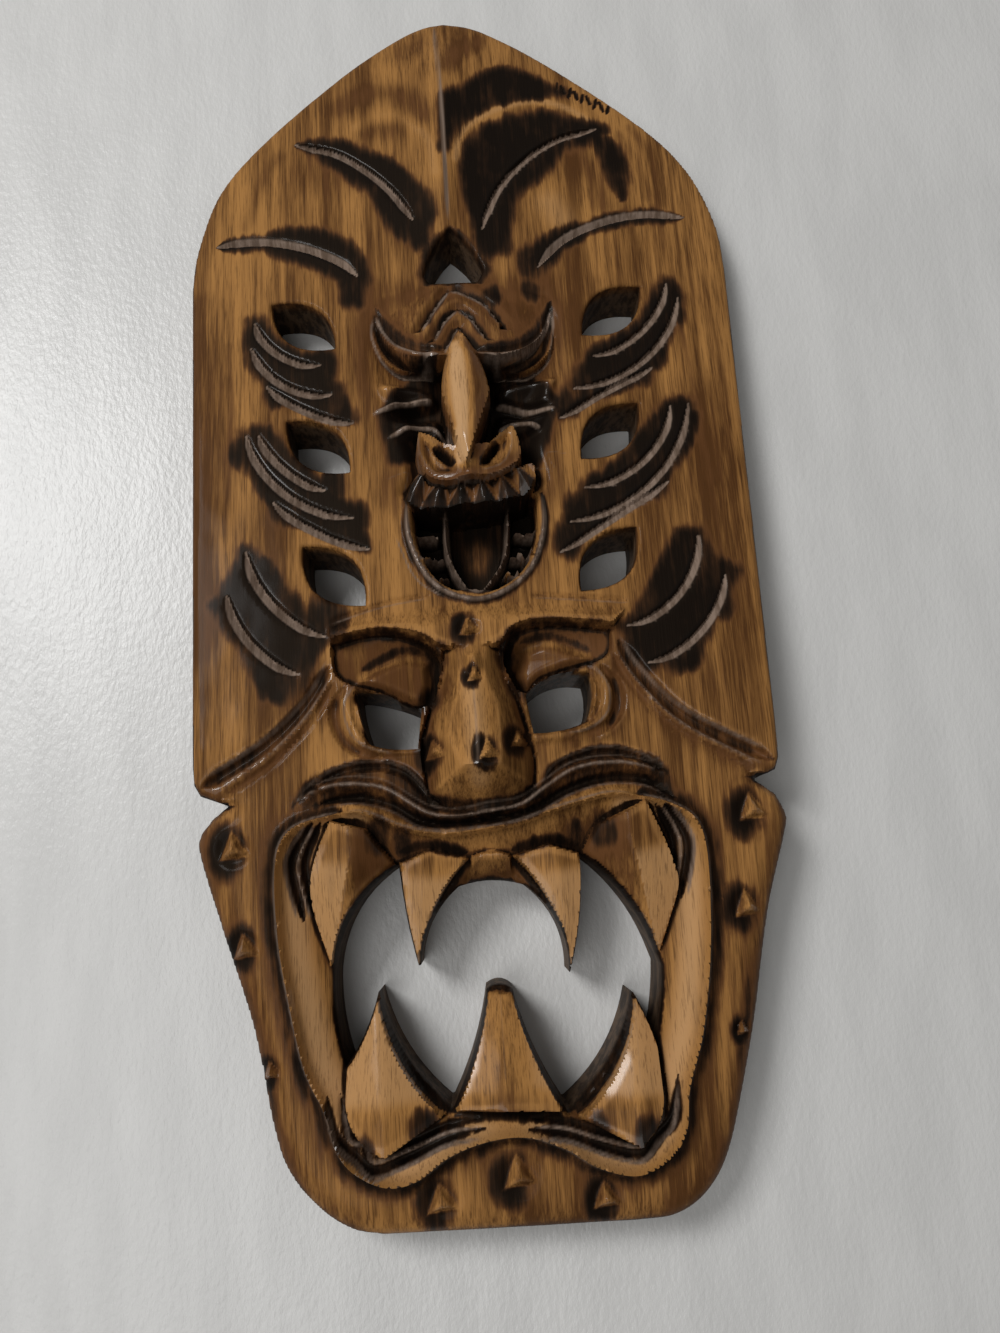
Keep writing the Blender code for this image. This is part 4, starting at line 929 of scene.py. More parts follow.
def carve_lips(carving):
    """A ridged moustache over lips that slope in to the mouth."""
    top = through([(44.4, -81), (36, -80), (28, -81.5), (18, -84), (8, -86.8), (0, -88), (-10, -88.9),
                   (-18, -88.4), (-25.5, -86.4), (-31.5, -83.6), (-37, -81.4), (-43.5, -81.3)])
    crest = carving.high(LIP_CREST_SHARE)
    fall = crest - carving.high(LIP_EDGE_SHARE)
    carving.burn(outer_lip(), 6.5, 0.75, 1, 0.01)
    carving.tint(outer_lip(), 11, 0.6)
    carving.lay(chain(outer_lip(), top[1:-1]),
                lambda x, y, z, d: crest - fall * np.clip(d / 15.0, 0, 1) ** 0.8, scorch=0.0)
    carving.rib(outer_lip(), LIP_RIB, 0.01)
    carve_moustache(carving, top)
    for side, lift in ((-1, 0.0), (1, -0.8)):
        for inset in (3.0, 6.4):
            corner = through([(side * (52.5 - inset), -160), (side * (50.5 - inset), -170.5),
                              (side * (45 - 0.8 * inset), -179 + inset), (side * 37, -183.4 + inset),
                              (side * 27, -181 + inset), (side * 17, -176 + 0.8 * inset),
                              (side * 6, -173.5 + 0.7 * inset)]) + (0, lift)
            carving.groove(corner, CORNER_GOUGE, 0.15)
            carving.burn(corner, 2.6, 0.95, 0, 0.2)
            carving.bare_and_highlight(corner - (0, 1.7), 1.2, 0.8)
            cheek = through([(side * (58.5 - inset), -112), (side * (61.5 - inset), -98),
                             (side * (60 - inset), -91), (side * (54 - 0.7 * inset), -84.5)])
            carving.groove(cheek, CORNER_GOUGE, 0.2)
            carving.burn(cheek, 2.8, 0.95, 0, 0.2)
            carving.bare_and_highlight(cheek + (side * 1.7, 0), 1.2, 0.8)
    # Painted highlight along the lips' crest.
    carving.bare_and_highlight(outer_lip(), 1.3, 0.6, 0.01)
    # Paler band inside the crest: partly the wood's pale tone, partly painted sheen.
    inner = np.array([(0, -130)]) + 0.93 * (outer_lip() - (0, -130))
    carving.tint(inner, 9, -1.5)


def carve_moustache(carving, top):
    """Ribs and grooves that run side by side over the upper lip, scorched in their hollows."""
    over = through([(-57, -77.5), (-52, -73.6), (-44, -70.4), (-36, -69.2), (-28, -70.6), (-21.5, -75),
                    (-17, -80.5), (-9, -84), (0, -83.5), (9.5, -81.6), (16, -77.2), (24, -71.6), (33, -68.4),
                    (42, -69.2), (50, -72.6), (55, -76)])
    under = through([(-52, -80), (-44, -78), (-36, -78.4), (-29, -80.6), (-18, -86.4), (-9, -88), (0, -87),
                     (12, -84.8), (24, -79), (33, -76), (42, -75.8), (50, -78.4), (55, -82)])
    carving.burn_area(chain(over, under[::-1]), 1.5, 0.55)
    for line in ([(-58, -79), (-53.4, -74.5), (-46.6, -70.6), (-38.9, -68.6), (-31, -68.6), (-24.3, -71),
                  (-19.5, -76), (-17, -81)],
                 [(55, -75.5), (46.3, -70), (36.6, -67.8), (28.9, -68.8), (21.2, -71.8), (16.5, -77)]):
        carving.groove(through(line), LIP_GOUGE, 0.15)
        carving.burn(through(line), 3.4, 0.75)
        carving.bare_and_highlight(through(line) + (0, 1.6), 1.3, 0.5)
    moustache = through([(-58, -78.6), (-52, -75), (-44, -73.4), (-36, -73.8), (-29, -75.8), (-18, -83),
                         (-9, -84.6), (0, -83.4), (9.5, -82.2), (17.3, -77.4), (26, -72.6), (36.6, -71.2),
                         (46.3, -72.6), (54.5, -76)])
    carving.rib(moustache, MOUSTACHE_RIB, 0.05)
    carving.rib(top, MOUSTACHE_RIB, 0.05)
    middle = through([(-52, -79), (-40, -77.2), (-29, -80), (-18, -86), (0, -86), (12, -84.4),
                      (24, -78.4), (36, -75.6), (48, -77), (56, -83)])
    carving.groove(middle, LIP_GOUGE, 0.1)
    carving.burn(middle, 3.0, 1.0)
    ridges = ((moustache, 0.7), (moustache + (0, 2.4), 0.45), (top, 0.6), (middle - (0, 1.9), 0.5))
    for line, amount in ridges:
        carving.bare_and_highlight(line, 1.3, amount)


def carve_palate(carving):
    """The arch between the inner fangs, which slopes back into the mouth."""
    palate = chain(bow((-21.5, -124), (-6, -96.5), 3.6), bow((-6, -96.5), (6, -96.5), -1.6)[1:-1],
                   bow((6, -96.5), (20.5, -126), 3.6), [(10, -125), (-10, -125)])
    level = carving.high(PALATE_SHARE)
    carving.lay(palate, lambda x, y, z, d: level - 1.25 * np.clip(-97 - y, 0, 9), scorch=0.0)
    carving.stain_and_shading[carving.near(palate, 0.0)] += 0.5


def fang(carving, sides, tip, root, root_share, slopes):
    """One fang: a soft crest from the middle of its root to its tip, falling to either side."""
    loop = chain(*sides)
    crest = bow(root, tip)
    carving.lines += [loop, moved_in(loop, STEP), crest]
    at = carving.near(loop, 0.0)
    x = carving.x[at]
    y = carving.y[at]
    depth = depth_inside(x, y, loop)
    _, share, near_x, _, _ = nearest(x, y, crest)
    top = carving.high(root_share)
    slope = np.where(x < near_x, slopes[0], slopes[1])
    away = np.sqrt((x - near_x) ** 2 + 1.5 ** 2) - 1.5
    target = top + (carving.high(FANG_POINT_SHARE) - top) * share ** 1.4 - slope * away
    inside = ramp(0, STEP, depth)
    steep = slope > 0.4
    # Painted shade on the steep side and at the root, painted highlight on the gentle side; darker at the
    # tip.
    stain_and_shading = 0.7 * steep * ramp(0, 2, away) - 0.9 * ~steep + 0.9 * ramp(0.22, 0.0, share)
    stain_and_shading = stain_and_shading + 0.5 * ramp(0.9, 1.0, share)
    carving.z[at] += inside * (target - carving.z[at])
    carving.scorch[at] *= 1 - inside
    carving.cut[at] *= 1 - inside
    carving.stain_and_shading[at] = carving.stain_and_shading[at] * (1 - inside) + inside * stain_and_shading
    # Painted highlight along the crest.
    carving.bare_and_highlight(crest[2:], 1.0, 0.35)


def carve_fangs(carving):
    """Two big and two small fangs above, two big ones and a broad tooth below."""
    big = BIG_FANG_SHARE
    small = SMALL_FANG_SHARE
    fang(carving, (bow((-28, -97.5), (-47.8, -127.8), 4.6),
                  through([(-47.8, -127.8), (-50.3, -119.6), (-53, -109.7), (-53.4, -101), (-50.8, -92),
                           (-46.6, -83.6)]), [(-36, -86.5)]),
         (-47.9, -127.8), (-40, -92), big, (0.2, 0.85))
    fang(carving, (through([(46.6, -82.6), (50.2, -91), (53.6, -100), (55.2, -108), (52, -118),
                           (48, -128.4)]), bow((48, -128.4), (27, -97.3), 3.0), [(31.5, -89)]),
         (47.8, -128.3), (41, -93), big, (0.75, 0.2))
    fang(carving, (bow((-6, -96.8), (-22.5, -129), 3.4), bow((-22.5, -129), (-27.2, -97), -0.8),
                  [(-18, -93.6)]), (-22.5, -129), (-20, -97), small, (0.25, 0.15))
    fang(carving, (bow((26.6, -97), (21.5, -132), -1.6), bow((21.5, -132), (6, -96.8), 3.6),
                  [(17, -93.8)]), (21.5, -132), (19, -97), small, (0.15, 0.25))
    fang(carving, (bow((-38, -175), (-45, -163), -1.5), bow((-44.5, -153.5), (-35, -133.5), 1.0),
                  bow((-35, -133.5), (-16.5, -167.6), 3.3), [(-34, -177)]),
         (-35, -133.5), (-34, -168), big, (0.36, 0.36))
    fang(carving, (bow((20, -170.5), (39.5, -138), 3.6), bow((39.5, -138), (45, -153), -0.6),
                  bow((45, -163), (42, -174), -1.0), [(37, -179)]),
         (39.5, -138), (37.5, -169), big, (0.38, 0.38))
    fang(carving, (bow((-14.8, -166.6), (-3.4, -135.2), 1.5), bow((4.4, -135.6), (17.4, -168.6), 1.6),
                  [(1, -166.8)]), (0.5, -134.5), (0.5, -166), big, (0.25, 0.25))
    carving.tint(bow((0.5, -136), (0.5, -164)), 12, 1.0)
    for spot, size in (((-33, -89), 6), ((-26, -92), 5), ((33, -91), 6), ((26, -92), 5), ((-23, -170), 6),
                       ((-40, -175), 5), ((39, -175), 6), ((26, -173), 5)):
        carving.burn_spot(spot, size, 0.75)
    for root in ([(-27, -94), (-18, -92.6), (-7, -95.5)], [(6, -95.5), (17, -92.8), (27, -95)],
                 [(-14, -168), (0, -168.4), (16.5, -170)]):
        carving.burn(through(root), 3.0, 0.95)


def chip_spikes():
    """Place and size of each chip-cut spike down the jaw, on the chin and on the nose."""
    jaw = [(-75.5, -90.5, 4.4), (-72.5, -119, 4.0), (-66, -153.5, 2.8), (79, -87.5, 4.4),
           (74.5, -115.5, 4.0), (70, -150, 2.2), (-19, -190.5, 4.2), (3, -185, 4.6), (27, -192.5, 4.0)]
    nose = [(-15.2, -65.5, 3.2), (0.8, -67.5, 3.0), (10.4, -63.5, 2.8), (-3, -28.6, 3.0), (-2, -44, 2.2)]
    return jaw + nose


def round_edge(carving, depth, radius, drop):
    """Round the front off towards an edge that lies at depth 0."""
    share = 1 - np.clip(depth / radius, 0, 1)
    carving.z -= drop * (1 - np.sqrt(1 - share ** 2))


def all_holes():
    """Every opening of the plank."""
    return side_holes() + [crown_hole()] + eye_holes() + [mouth_hole()]


def cut_all(carving):
    """Every cut of the face, one after another."""
    carve_forehead(carving)
    carve_small_head(carving)
    carve_cheeks(carving)
    carve_brows(carving)
    carve_nose(carving)
    carve_lips(carving)
    carve_palate(carving)
    carve_fangs(carving)
    carve_feathers(carving)
    for x, y, size in chip_spikes():
        carving.spike((x, y), size)


def carve(x, y, outline, holes, sizes):
    """The finished carving over the points."""
    carving = Carving(x, y, sizes)
    cut_all(carving)
    edge = depth_inside(x, y, outline)
    round_edge(carving, np.where(y < JAW_TOP, edge, np.inf), *JAW_ROUNDING)
    round_edge(carving, edge, *RIM_ROUNDING)
    for hole in holes:
        round_edge(carving, nearest(x, y, hole, closed=True)[0], *HOLE_ROUNDING)
    return carving


# Mesh

def finely_carved(x, y):
    """Whether each place lies on finely carved wood: the heads, the mouth, long cuts, marks and spikes."""
    fine = depth_inside(x, y, outer_lip()) > 0
    for reach, low, high in ((37, -21, 95), (50, -90, -15)):
        fine |= (np.abs(x) < reach) & (y > low) & (y < high)
    for line in [outer_lip()] + cheek_channels() + feather_strokes() + forehead_strokes():
        fine |= nearest(x, y, line)[0] < 3.2
    fine |= (x > 36) & (x < 60) & (np.abs(y - mark_height(x)) < 4)
    for spike_x, spike_y, size in chip_spikes():
        fine |= np.hypot(x - spike_x, y - spike_y) < 1.9 * size
    return fine


def on_wood(x, y, outline, holes, margin=0.0):
    """Whether each place lies on the wood, or off it by less than a margin."""
    kept = depth_inside(x, y, outline) > -margin
    for hole in holes:
        kept &= depth_inside(x, y, hole) < margin
    return kept


def smoothed_heights(outline, holes, sizes, step=1.0):
    """A regular grid over the whole front, with its heights smoothed closely and widely."""
    xs = np.arange(-96, 98, step)
    ys = np.arange(-206, 208, step)
    x, y = (part.ravel() for part in np.meshgrid(xs, ys))
    z = carve(x, y, outline, holes, sizes).z.reshape(len(ys), len(xs))
    solid = on_wood(x, y, outline, holes).reshape(z.shape).astype(float)
    smoothed = []
    for spread in (1.4, 4.5):
        reach = np.arange(-int(3 * spread), int(3 * spread) + 1)
        bell = np.exp(-0.5 * (reach / spread) ** 2)
        both = []
        for field in (z * solid, solid):
            field = np.apply_along_axis(np.convolve, 1, field, bell, "same")
            both.append(np.apply_along_axis(np.convolve, 0, field, bell, "same"))
        smoothed.append(both[0] / np.maximum(both[1], 1e-6))
    return xs, ys, smoothed


def sampled(xs, ys, field, x, y):
    """A gridded field read between its points."""
    u = np.clip((x - xs[0]) / (xs[1] - xs[0]), 0, len(xs) - 1.001)
    v = np.clip((y - ys[0]) / (ys[1] - ys[0]), 0, len(ys) - 1.001)
    i, j = u.astype(int), v.astype(int)
    u, v = u - i, v - j
    return ((field[j, i] * (1 - u) + field[j, i + 1] * u) * (1 - v)
            + (field[j + 1, i] * (1 - u) + field[j + 1, i + 1] * u) * v)


def trim(bm, outline, holes, margin=0.0):
    """Take away the faces whose middles lie off the wood by more than a margin."""
    middles = np.array([face.calc_center_median()[:2] for face in bm.faces])
    kept = on_wood(middles[:, 0], middles[:, 1], outline, holes, margin)
    waste = [face for face, keep in zip(bm.faces[:], kept) if not keep]
    bmesh.ops.delete(bm, geom=waste, context="FACES")


def sheet(outline, holes, cell):
    """A flat grid, finer where the carving is, trimmed to the outline and the holes."""
    low = outline.min(axis=0)
    high = outline.max(axis=0)
    across, along = np.ceil((high - low) / cell).astype(int) + 1
    bm = bmesh.new()
    bmesh.ops.create_grid(bm, x_segments=int(across), y_segments=int(along), size=0.5)
    bmesh.ops.scale(bm, verts=bm.verts[:], vec=(across * cell, along * cell, 1))
    bmesh.ops.translate(bm, verts=bm.verts[:], vec=(*(low + high) / 2, 0))
    trim(bm, outline, holes, 1.5 * cell)
    places = np.array([vert.co[:2] for vert in bm.verts])
    fine = finely_carved(places[:, 0], places[:, 1])
    for hole in holes + [outline]:
        fine |= np.abs(depth_inside(places[:, 0], places[:, 1], hole)) < 2 * cell
    fine = {vert for vert, is_fine in zip(bm.verts, fine) if is_fine}
    edges = [edge for edge in bm.edges if edge.verts[0] in fine and edge.verts[1] in fine]
    bmesh.ops.subdivide_edges(bm, edges=edges, cuts=1, use_grid_fill=True)
    trim(bm, outline, holes)
    return bm


def snapped(x, y, lines, reach, closed=False):
    """Places within reach of a line moved on to it."""
    best = np.full(x.shape, float(reach))
    new_x = x.copy()
    new_y = y.copy()
    for line in lines:
        at = np.nonzero((x > line[:, 0].min() - reach) & (x < line[:, 0].max() + reach)
                        & (y > line[:, 1].min() - reach) & (y < line[:, 1].max() + reach))[0]
        distance, _, near_x, near_y, _ = nearest(x[at], y[at], line, closed)
        closer = distance < best[at]
        best[at[closer]] = distance[closer]
        new_x[at[closer]] = near_x[closer]
        new_y[at[closer]] = near_y[closer]
    return new_x, new_y


def inward(x, y, outline):
    """Directions that point into the wood from places near its outline."""
    here = depth_inside(x, y, outline)
    dx = depth_inside(x + 0.05, y, outline) - here
    dy = depth_inside(x, y + 0.05, outline) - here
    length = np.maximum(np.hypot(dx, dy), 1e-9)
    return dx / length, dy / length


def settled(verts, outline, holes, cell, sizes):
    """Where the sheet's points go: those of its rim on to the wood's edge, others on to a line close by."""
    x = np.array([vert.co.x for vert in verts])
    y = np.array([vert.co.y for vert in verts])
    rim = np.array([vert.is_boundary for vert in verts])
    guide = Carving(x[:1], y[:1], sizes)
    cut_all(guide)
    brinks = [moved_in(hole, -HOLE_ROUNDING[0]) for hole in holes]
    inner_x, inner_y = snapped(x, y, guide.lines + brinks, 0.22 * cell)
    rim_x, rim_y = snapped(x, y, [outline] + holes, 4 * cell, closed=True)
    return np.where(rim, rim_x, inner_x), np.where(rim, rim_y, inner_y)


def uneven(x, y):
    """The slight unevenness that a gouge leaves, in two sizes of wave."""
    wide = [noise.noise(Vector((px / 11, py / 16, 3.1))) for px, py in zip(x, y)]
    narrow = [noise.noise(Vector((px / 4, py / 6, 7.7))) for px, py in zip(x, y)]
    return np.array(wide) + 0.4 * np.array(narrow)


def carved_mask(sizes):
    """The whole mask: carved front, walls and flat back, with its scorch, cut and staining marks as
    attributes, which also hold painted highlights and painted shade.
    """
    outline, holes = mask_outline(), all_holes()
    cell = sizes.cell * 1000
    bm = sheet(outline, holes, cell)
    # The cut mark also holds painted highlights along crests, and the staining mark painted shade and painted
    # highlight on facets.
    names = ("scorch", "cut", "stain_and_shading", "crease", "hollow", "wall")
    layers = {name: bm.verts.layers.float.new(name) for name in names}
    verts = bm.verts[:]
    x, y = settled(verts, outline, holes, cell, sizes)
    carving = carve(x, y, outline, holes, sizes)
    z = carving.z + 0.12 * uneven(x, y)
    xs, ys, (close, wide) = smoothed_heights(outline, holes, sizes)
    marks = {"scorch": carving.scorch, "cut": carving.cut, "stain_and_shading": carving.stain_and_shading,
             "crease": sampled(xs, ys, close, x, y) - z, "hollow": sampled(xs, ys, wide, x, y) - z}
    for k, vert in enumerate(verts):
        vert.co = (x[k], y[k], z[k])
        for name, values in marks.items():
            vert[layers[name]] = values[k]
    add_walls(bm, layers, outline)
    bmesh.ops.recalc_face_normals(bm, faces=bm.faces[:])
    return bm


def add_walls(bm, layers, outline):
    """The walls down to the back, which is a little rounded off, and the flat back itself."""
    ring = [edge for edge in bm.edges if edge.is_boundary]
    for level, wall in ((0.72, 0.5), (0.06, 1.0), (0.0, 1.0)):
        made = bmesh.ops.extrude_edge_only(bm, edges=ring)["geom"]
        ring = [item for item in made if isinstance(item, bmesh.types.BMEdge) and item.is_boundary]
        lower = [item for item in made if isinstance(item, bmesh.types.BMVert)]
        if level == 0.0:
            px = np.array([vert.co.x for vert in lower])
            py = np.array([vert.co.y for vert in lower])
            dx, dy = inward(px, py, outline)
            near_edge = np.abs(depth_inside(px, py, outline)) < 0.5
            for k, vert in enumerate(lower):
                if near_edge[k]:
                    vert.co.x += BACK_ROUNDING * dx[k]
                    vert.co.y += BACK_ROUNDING * dy[k]
        for vert in lower:
            vert.co.z *= level
            vert[layers["wall"]] = wall
    bmesh.ops.triangle_fill(bm, edges=ring, use_beauty=True)


def fitted(bm, node):
    """The mesh brought from the drawing to the place and size of a node of the frame."""
    low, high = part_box(node)
    places = np.array([vert.co[:] for vert in bm.verts])
    own_low, own_high = places.min(axis=0), places.max(axis=0)
    factors = [(high[k] - low[k]) / (own_high[k] - own_low[k]) for k in range(3)]
    bmesh.ops.translate(bm, verts=bm.verts[:], vec=-Vector(own_low))
    bmesh.ops.scale(bm, verts=bm.verts[:], vec=factors)
    bmesh.ops.translate(bm, verts=bm.verts[:], vec=low)


# Materials

class Nodes:
    """A short way to wire shader nodes."""

    def __init__(self, material):
        material.use_nodes = True
        self.tree = material.node_tree
        self.shader = self.tree.nodes["Principled BSDF"]

    def add(self, kind, inputs=None, **settings):
        """A node with its settings, and its inputs as values or as sockets to link."""
        node = self.tree.nodes.new(kind)
        for name, value in settings.items():
            setattr(node, name, value)
        for name, value in (inputs or {}).items():
            self.feed(node.inputs[name], value)
        return node

    def feed(self, socket, value):
        """Link a socket or set it."""
        if isinstance(value, bpy.types.NodeSocket):
            self.tree.links.new(value, socket)
        else:
            socket.default_value = value

    def math(self, operation, a, b=0.0, clamp=False):
        """One calculation."""
        return self.add("ShaderNodeMath", {0: a, 1: b}, operation=operation, use_clamp=clamp).outputs[0]

    def plus(self, base, value, share, clamp=False):
        """A value with a share of another one added."""
        return self.math("ADD", base, self.math("MULTIPLY", value, share), clamp)

    def centred(self, value):
        """A value moved from round a half to round 0."""
        return self.math("SUBTRACT", value, 0.5)

    def mark(self, name):
        """A mark that is kept on the mesh."""
        return self.add("ShaderNodeAttribute", attribute_name=name).outputs["Fac"]

    def noise(self, place, factors, detail=3.0, rough=0.55):
        """Smooth noise over a place stretched by factors."""
        stretched = self.add("ShaderNodeMapping", {"Vector": place, "Scale": factors}).outputs[0]
        return self.add("ShaderNodeTexNoise", {"Vector": stretched, "Scale": 1.0, "Detail": detail,
                                               "Roughness": rough}).outputs["Fac"]

    def slope(self, value, low, high):
        """0 below low, 1 above high and a smooth slope between."""
        return self.add("ShaderNodeMapRange", {"Value": value, "From Min": low, "From Max": high},
                        interpolation_type="SMOOTHSTEP").outputs[0]

    def mix(self, share, a, b):
        """Two colours mixed."""
        node = self.add("ShaderNodeMix", data_type="RGBA")
        for socket, value in zip((node.inputs[0], node.inputs[6], node.inputs[7]), (share, a, b)):
            self.feed(socket, value)
        return node.outputs[2]

    def dress(self, inputs, streaks, grain, bump_depth):
        """Set the shader's inputs, and its bump from streaks and finer grain."""
        for name, value in inputs.items():
            self.feed(self.shader.inputs[name], value)
        relief = self.plus(self.math("MULTIPLY", streaks, 0.4), grain, 0.6)
        bump = self.add("ShaderNodeBump", {"Height": relief, "Strength": 0.5, "Distance": bump_depth})
        self.feed(self.shader.inputs["Normal"], bump.outputs[0])


def grained(n, place, finish, fine, streaks, ridge_wear_and_highlight):
    """Golden to brown wood by its grain, its staining and painted shading, and the hollows, which are darker
    partly by patina and partly by painted shade; paler on the ridges, partly by wear and partly by painted
    highlight; with dark pores.
    """
    tone = n.plus(n.math("MULTIPLY", streaks, 0.3), n.noise(place, (85, 6.0, 50)), 0.38)
    tone = n.plus(tone, n.noise(place, (30, 12, 24), 2.0), 0.32)
    tone = n.plus(tone, n.centred(fine), 0.2)
    brownness = n.plus(n.slope(tone, 0.39, 0.61), n.mark("stain_and_shading"), 0.55, clamp=True)
    # Darker in the hollows: partly the wood's patina, partly painted shade.
    brownness = n.plus(brownness, n.slope(n.mark("hollow"), 0.2, 4.0), 0.5, clamp=True)
    # Paler on the ridges: partly wear, partly painted highlight.
    brownness = n.plus(brownness, ridge_wear_and_highlight, -0.45, clamp=True)
    wood = n.mix(brownness, finish.golden, finish.brown)
    wood = n.mix(n.slope(n.mark("stain_and_shading"), -0.3, -1.5), wood, PALE_WOOD_AND_HIGHLIGHT)
    return n.mix(n.math("MULTIPLY", n.slope(fine, 0.53, 0.66), 0.4), wood, PORE)


def scorched(n, place, finish, wood):
    """Wood burnt where it is marked and in its creases: toasted at the edges, black in the middle."""
    crease = n.slope(n.mark("crease"), 0.15, 1.3)
    burnt = n.math("MAXIMUM", n.mark("scorch"), n.math("MULTIPLY", crease, 0.8))
    ragged = n.slope(n.noise(place, (500, 26, 200), 5.0, 0.7), 0.3, 0.7)
    burnt = n.plus(burnt, n.centred(ragged), 0.4)
    blots = n.centred(n.noise(place, (150, 70, 90), 2.0))
    burnt = n.plus(burnt, n.math("MULTIPLY", blots, n.slope(n.mark("scorch"), 0.0, 0.4)), 1.3)
    toasted = n.slope(n.plus(burnt, n.mark("stain_and_shading"), 0.25), 0.0, 0.45)
    wood = n.mix(toasted, wood, TOASTED_WOOD)
    wood = n.mix(n.slope(burnt, 0.15, 0.7), wood, CHARRED_WOOD)
    return n.mix(n.slope(burnt, 0.5, 1.0), wood, finish.scorched)


def varnished_wood(finish):
    """Streaky wood with stained rings, hollows darkened partly by patina and partly by painted shade,
    scorched cuts, pale edges that are partly wear and partly painted highlight, and a varnish coat.
    """
    material = bpy.data.materials.new("varnished wood")
    n = Nodes(material)
    place = n.add("ShaderNodeTexCoord").outputs["Object"]
    fine = n.noise(place, (2300, 75, 700), 3.0, 0.65)
    streaks = n.noise(place, (520, 14, 200), 4.0, 0.65)
    # Ridges, which are paler partly by wear and partly by painted highlight, and glossier.
    ridge_wear_and_highlight = n.slope(n.mark("crease"), -0.12, -0.9)
    wood = scorched(n, place, finish, grained(n, place, finish, fine, streaks, ridge_wear_and_highlight))
    wall = n.mix(n.slope(streaks, 0.4, 0.6), SAWN_WALL, DARK_WALL)
    wood = n.mix(n.slope(n.mark("wall"), 0.0, 0.5), wood, wall)
    # Pale cut wood, which also paints the highlights along the crests.
    pale = n.mix(n.slope(streaks, 0.35, 0.65), finish.cut, OLD_CUT)
    wood = n.mix(n.slope(n.mark("cut"), 0.15, 0.85), wood, pale)
    gloss = n.math("ADD", n.math("MULTIPLY", ridge_wear_and_highlight, 1.0 - finish.varnish), finish.varnish)
    n.dress({"Base Color": wood, "Roughness": finish.roughness, "Specular IOR Level": 0.12,
             "Specular Tint": VARNISH_TINT, "Coat Weight": n.math("MULTIPLY", gloss, 0.45),
             "Coat Roughness": 0.15}, streaks, fine, 0.0003)
    return material


def table_top(colour):
    """A pale painted table top with faint brush streaks."""
    material = bpy.data.materials.new("table top")
    n = Nodes(material)
    place = n.add("ShaderNodeTexCoord").outputs["Object"]
    streaks = n.noise(place, (60, 14, 60), 4.0, 0.6)
    darker = tuple(0.93 * part for part in colour[:3]) + (1,)
    grain = n.noise(place, (620, 330, 600), 3.0, 0.6)
    paint = n.mix(n.slope(streaks, 0.35, 0.65), colour, darker)
    n.dress({"Base Color": paint, "Roughness": 0.34}, streaks, grain, 0.0008)
    return material


# Operators and panel

class MASK_OT_carve(bpy.types.Operator):
    """Carve the mask in place of the plain node"""

    bl_idname = "mask.carve"
    bl_label = "Carved mask"

    def execute(self, context):
        bm = carved_mask(context.scene.mask_sizes)
        fitted(bm, "mask")
        mesh = bpy.data.meshes.new("carved_mask")
        bm.to_mesh(mesh)
        bm.free()
        mesh.shade_smooth()
        mesh.set_sharp_from_angle(angle=0.9)
        mesh.materials.append(varnished_wood(context.scene.wood_finish))
        piece = bpy.data.objects.new("carved_mask", mesh)
        context.scene.collection.objects.link(piece)
        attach(piece, "root")
        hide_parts("mask")
        mesh.calc_loop_triangles()
        print("carved_mask triangles", len(mesh.loop_triangles))
        return {"FINISHED"}


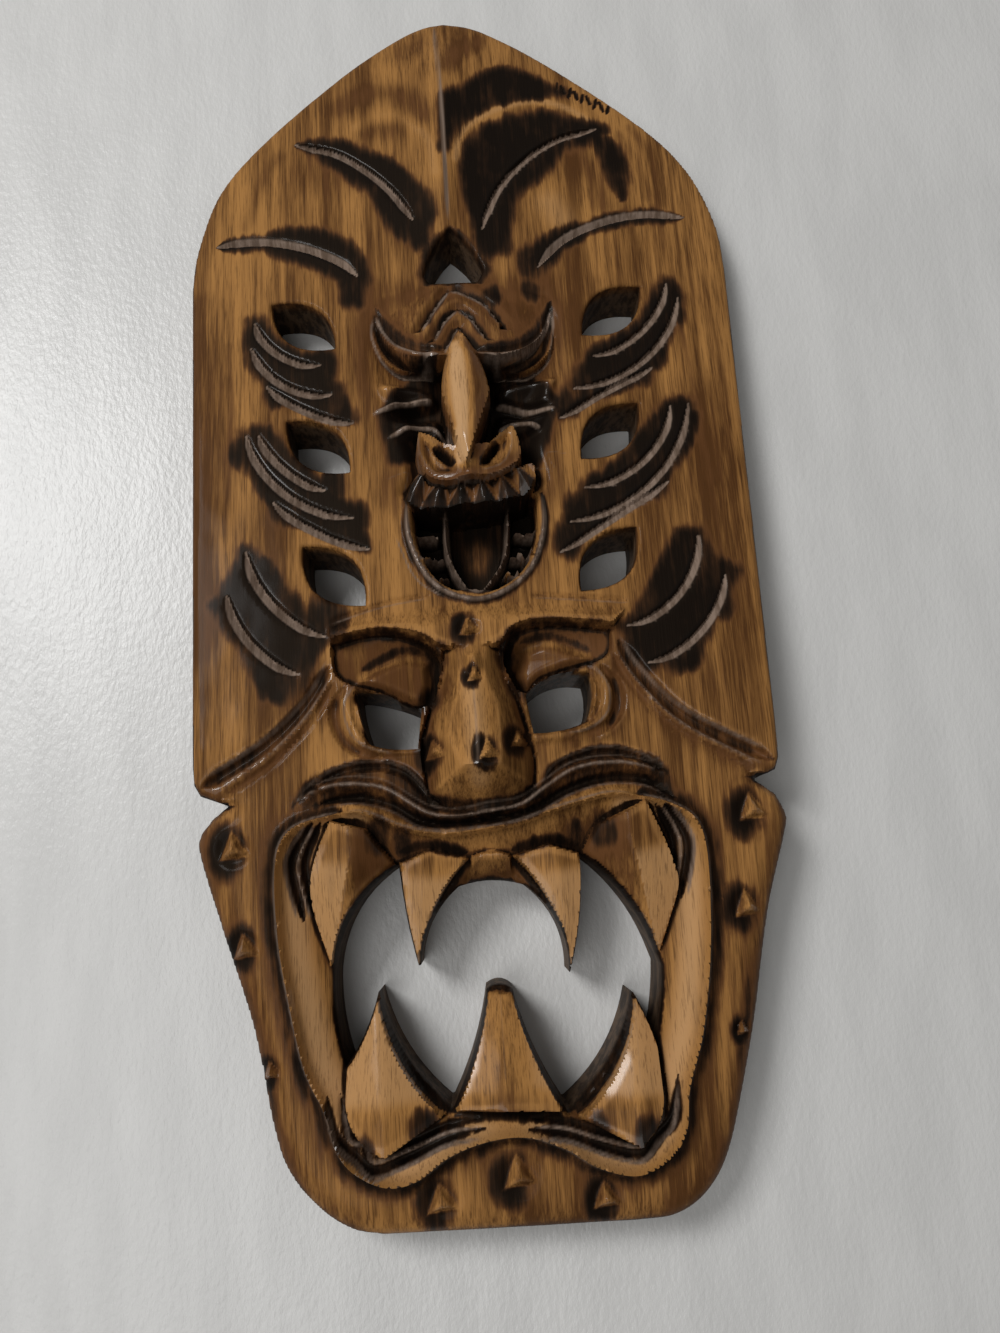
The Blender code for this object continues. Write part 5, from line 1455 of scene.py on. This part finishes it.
class MASK_OT_stage(bpy.types.Operator):
    """Lay the table top and set the lights and the camera"""

    bl_idname = "mask.stage"
    bl_label = "Table, lights and camera"

    def execute(self, context):
        setting = context.scene.mask_stage
        bm = bmesh.new()
        bmesh.ops.create_grid(bm, x_segments=1, y_segments=1, size=TABLE_REACH)
        bmesh.ops.translate(bm, verts=bm.verts[:], vec=(0, 0, -TABLE_GAP))
        mesh = bpy.data.meshes.new("table")
        bm.to_mesh(mesh)
        bm.free()
        mesh.materials.append(table_top(setting.table))
        table = bpy.data.objects.new("table", mesh)
        context.scene.collection.objects.link(table)
        for name, place, size, share in LIGHTS:
            self.light(context, name, place, size, share * setting.window)
        world = bpy.data.worlds.new("room")
        world.use_nodes = True
        background = world.node_tree.nodes["Background"]
        background.inputs["Color"].default_value = (1.0, 0.99, 0.97, 1)
        background.inputs["Strength"].default_value = setting.room
        context.scene.world = world
        self.camera(context, setting)
        context.scene.view_settings.view_transform = "Standard"
        return {"FINISHED"}

    def camera(self, context, setting):
        """The camera at the photograph's angle."""
        data = bpy.data.cameras.new("camera")
        data.lens = setting.lens
        data.clip_start = 0.01
        camera = bpy.data.objects.new("camera", data)
        camera.location = setting.camera_place
        camera.rotation_euler = setting.camera_turn
        context.scene.collection.objects.link(camera)
        context.scene.camera = camera

    def light(self, context, name, place, size, power):
        """One square soft light aimed at the mask."""
        data = bpy.data.lights.new(name, "AREA")
        data.size = size
        data.energy = power
        lamp = bpy.data.objects.new(name, data)
        lamp.location = place
        lamp.rotation_euler = (-Vector(place)).to_track_quat("-Z", "Y").to_euler()
        context.scene.collection.objects.link(lamp)


class MASK_PT_panel(bpy.types.Panel):
    """The mask's sizes, finish and stage in the sidebar"""

    bl_idname = "MASK_PT_panel"
    bl_label = "Carved mask"
    bl_space_type = "VIEW_3D"
    bl_region_type = "UI"
    bl_category = "Mask"

    def draw(self, context):
        layout = self.layout
        for group in (context.scene.mask_sizes, context.scene.wood_finish, context.scene.mask_stage):
            box = layout.box()
            for name in group.bl_rna.properties.keys():
                if name not in ("rna_type", "name"):
                    box.prop(group, name)
        for operator in (MASK_OT_carve, MASK_OT_stage):
            layout.operator(operator.bl_idname)


CLASSES = (MaskSizes, WoodFinish, StageSetting, MASK_OT_carve, MASK_OT_stage, MASK_PT_panel)


def register():
    """Make the panel, operators and settings known."""
    for item in CLASSES:
        bpy.utils.register_class(item)
    bpy.types.Scene.mask_sizes = PointerProperty(type=MaskSizes)
    bpy.types.Scene.wood_finish = PointerProperty(type=WoodFinish)
    bpy.types.Scene.mask_stage = PointerProperty(type=StageSetting)


def unregister():
    """Take the panel, operators and settings away."""
    del bpy.types.Scene.mask_stage
    del bpy.types.Scene.wood_finish
    del bpy.types.Scene.mask_sizes
    for item in reversed(CLASSES):
        bpy.utils.unregister_class(item)


def main():
    """Dress the frame: carve the mask and lay the stage."""
    register()
    bpy.ops.mask.carve()
    bpy.ops.mask.stage()


if __name__ == "__main__":
    main()
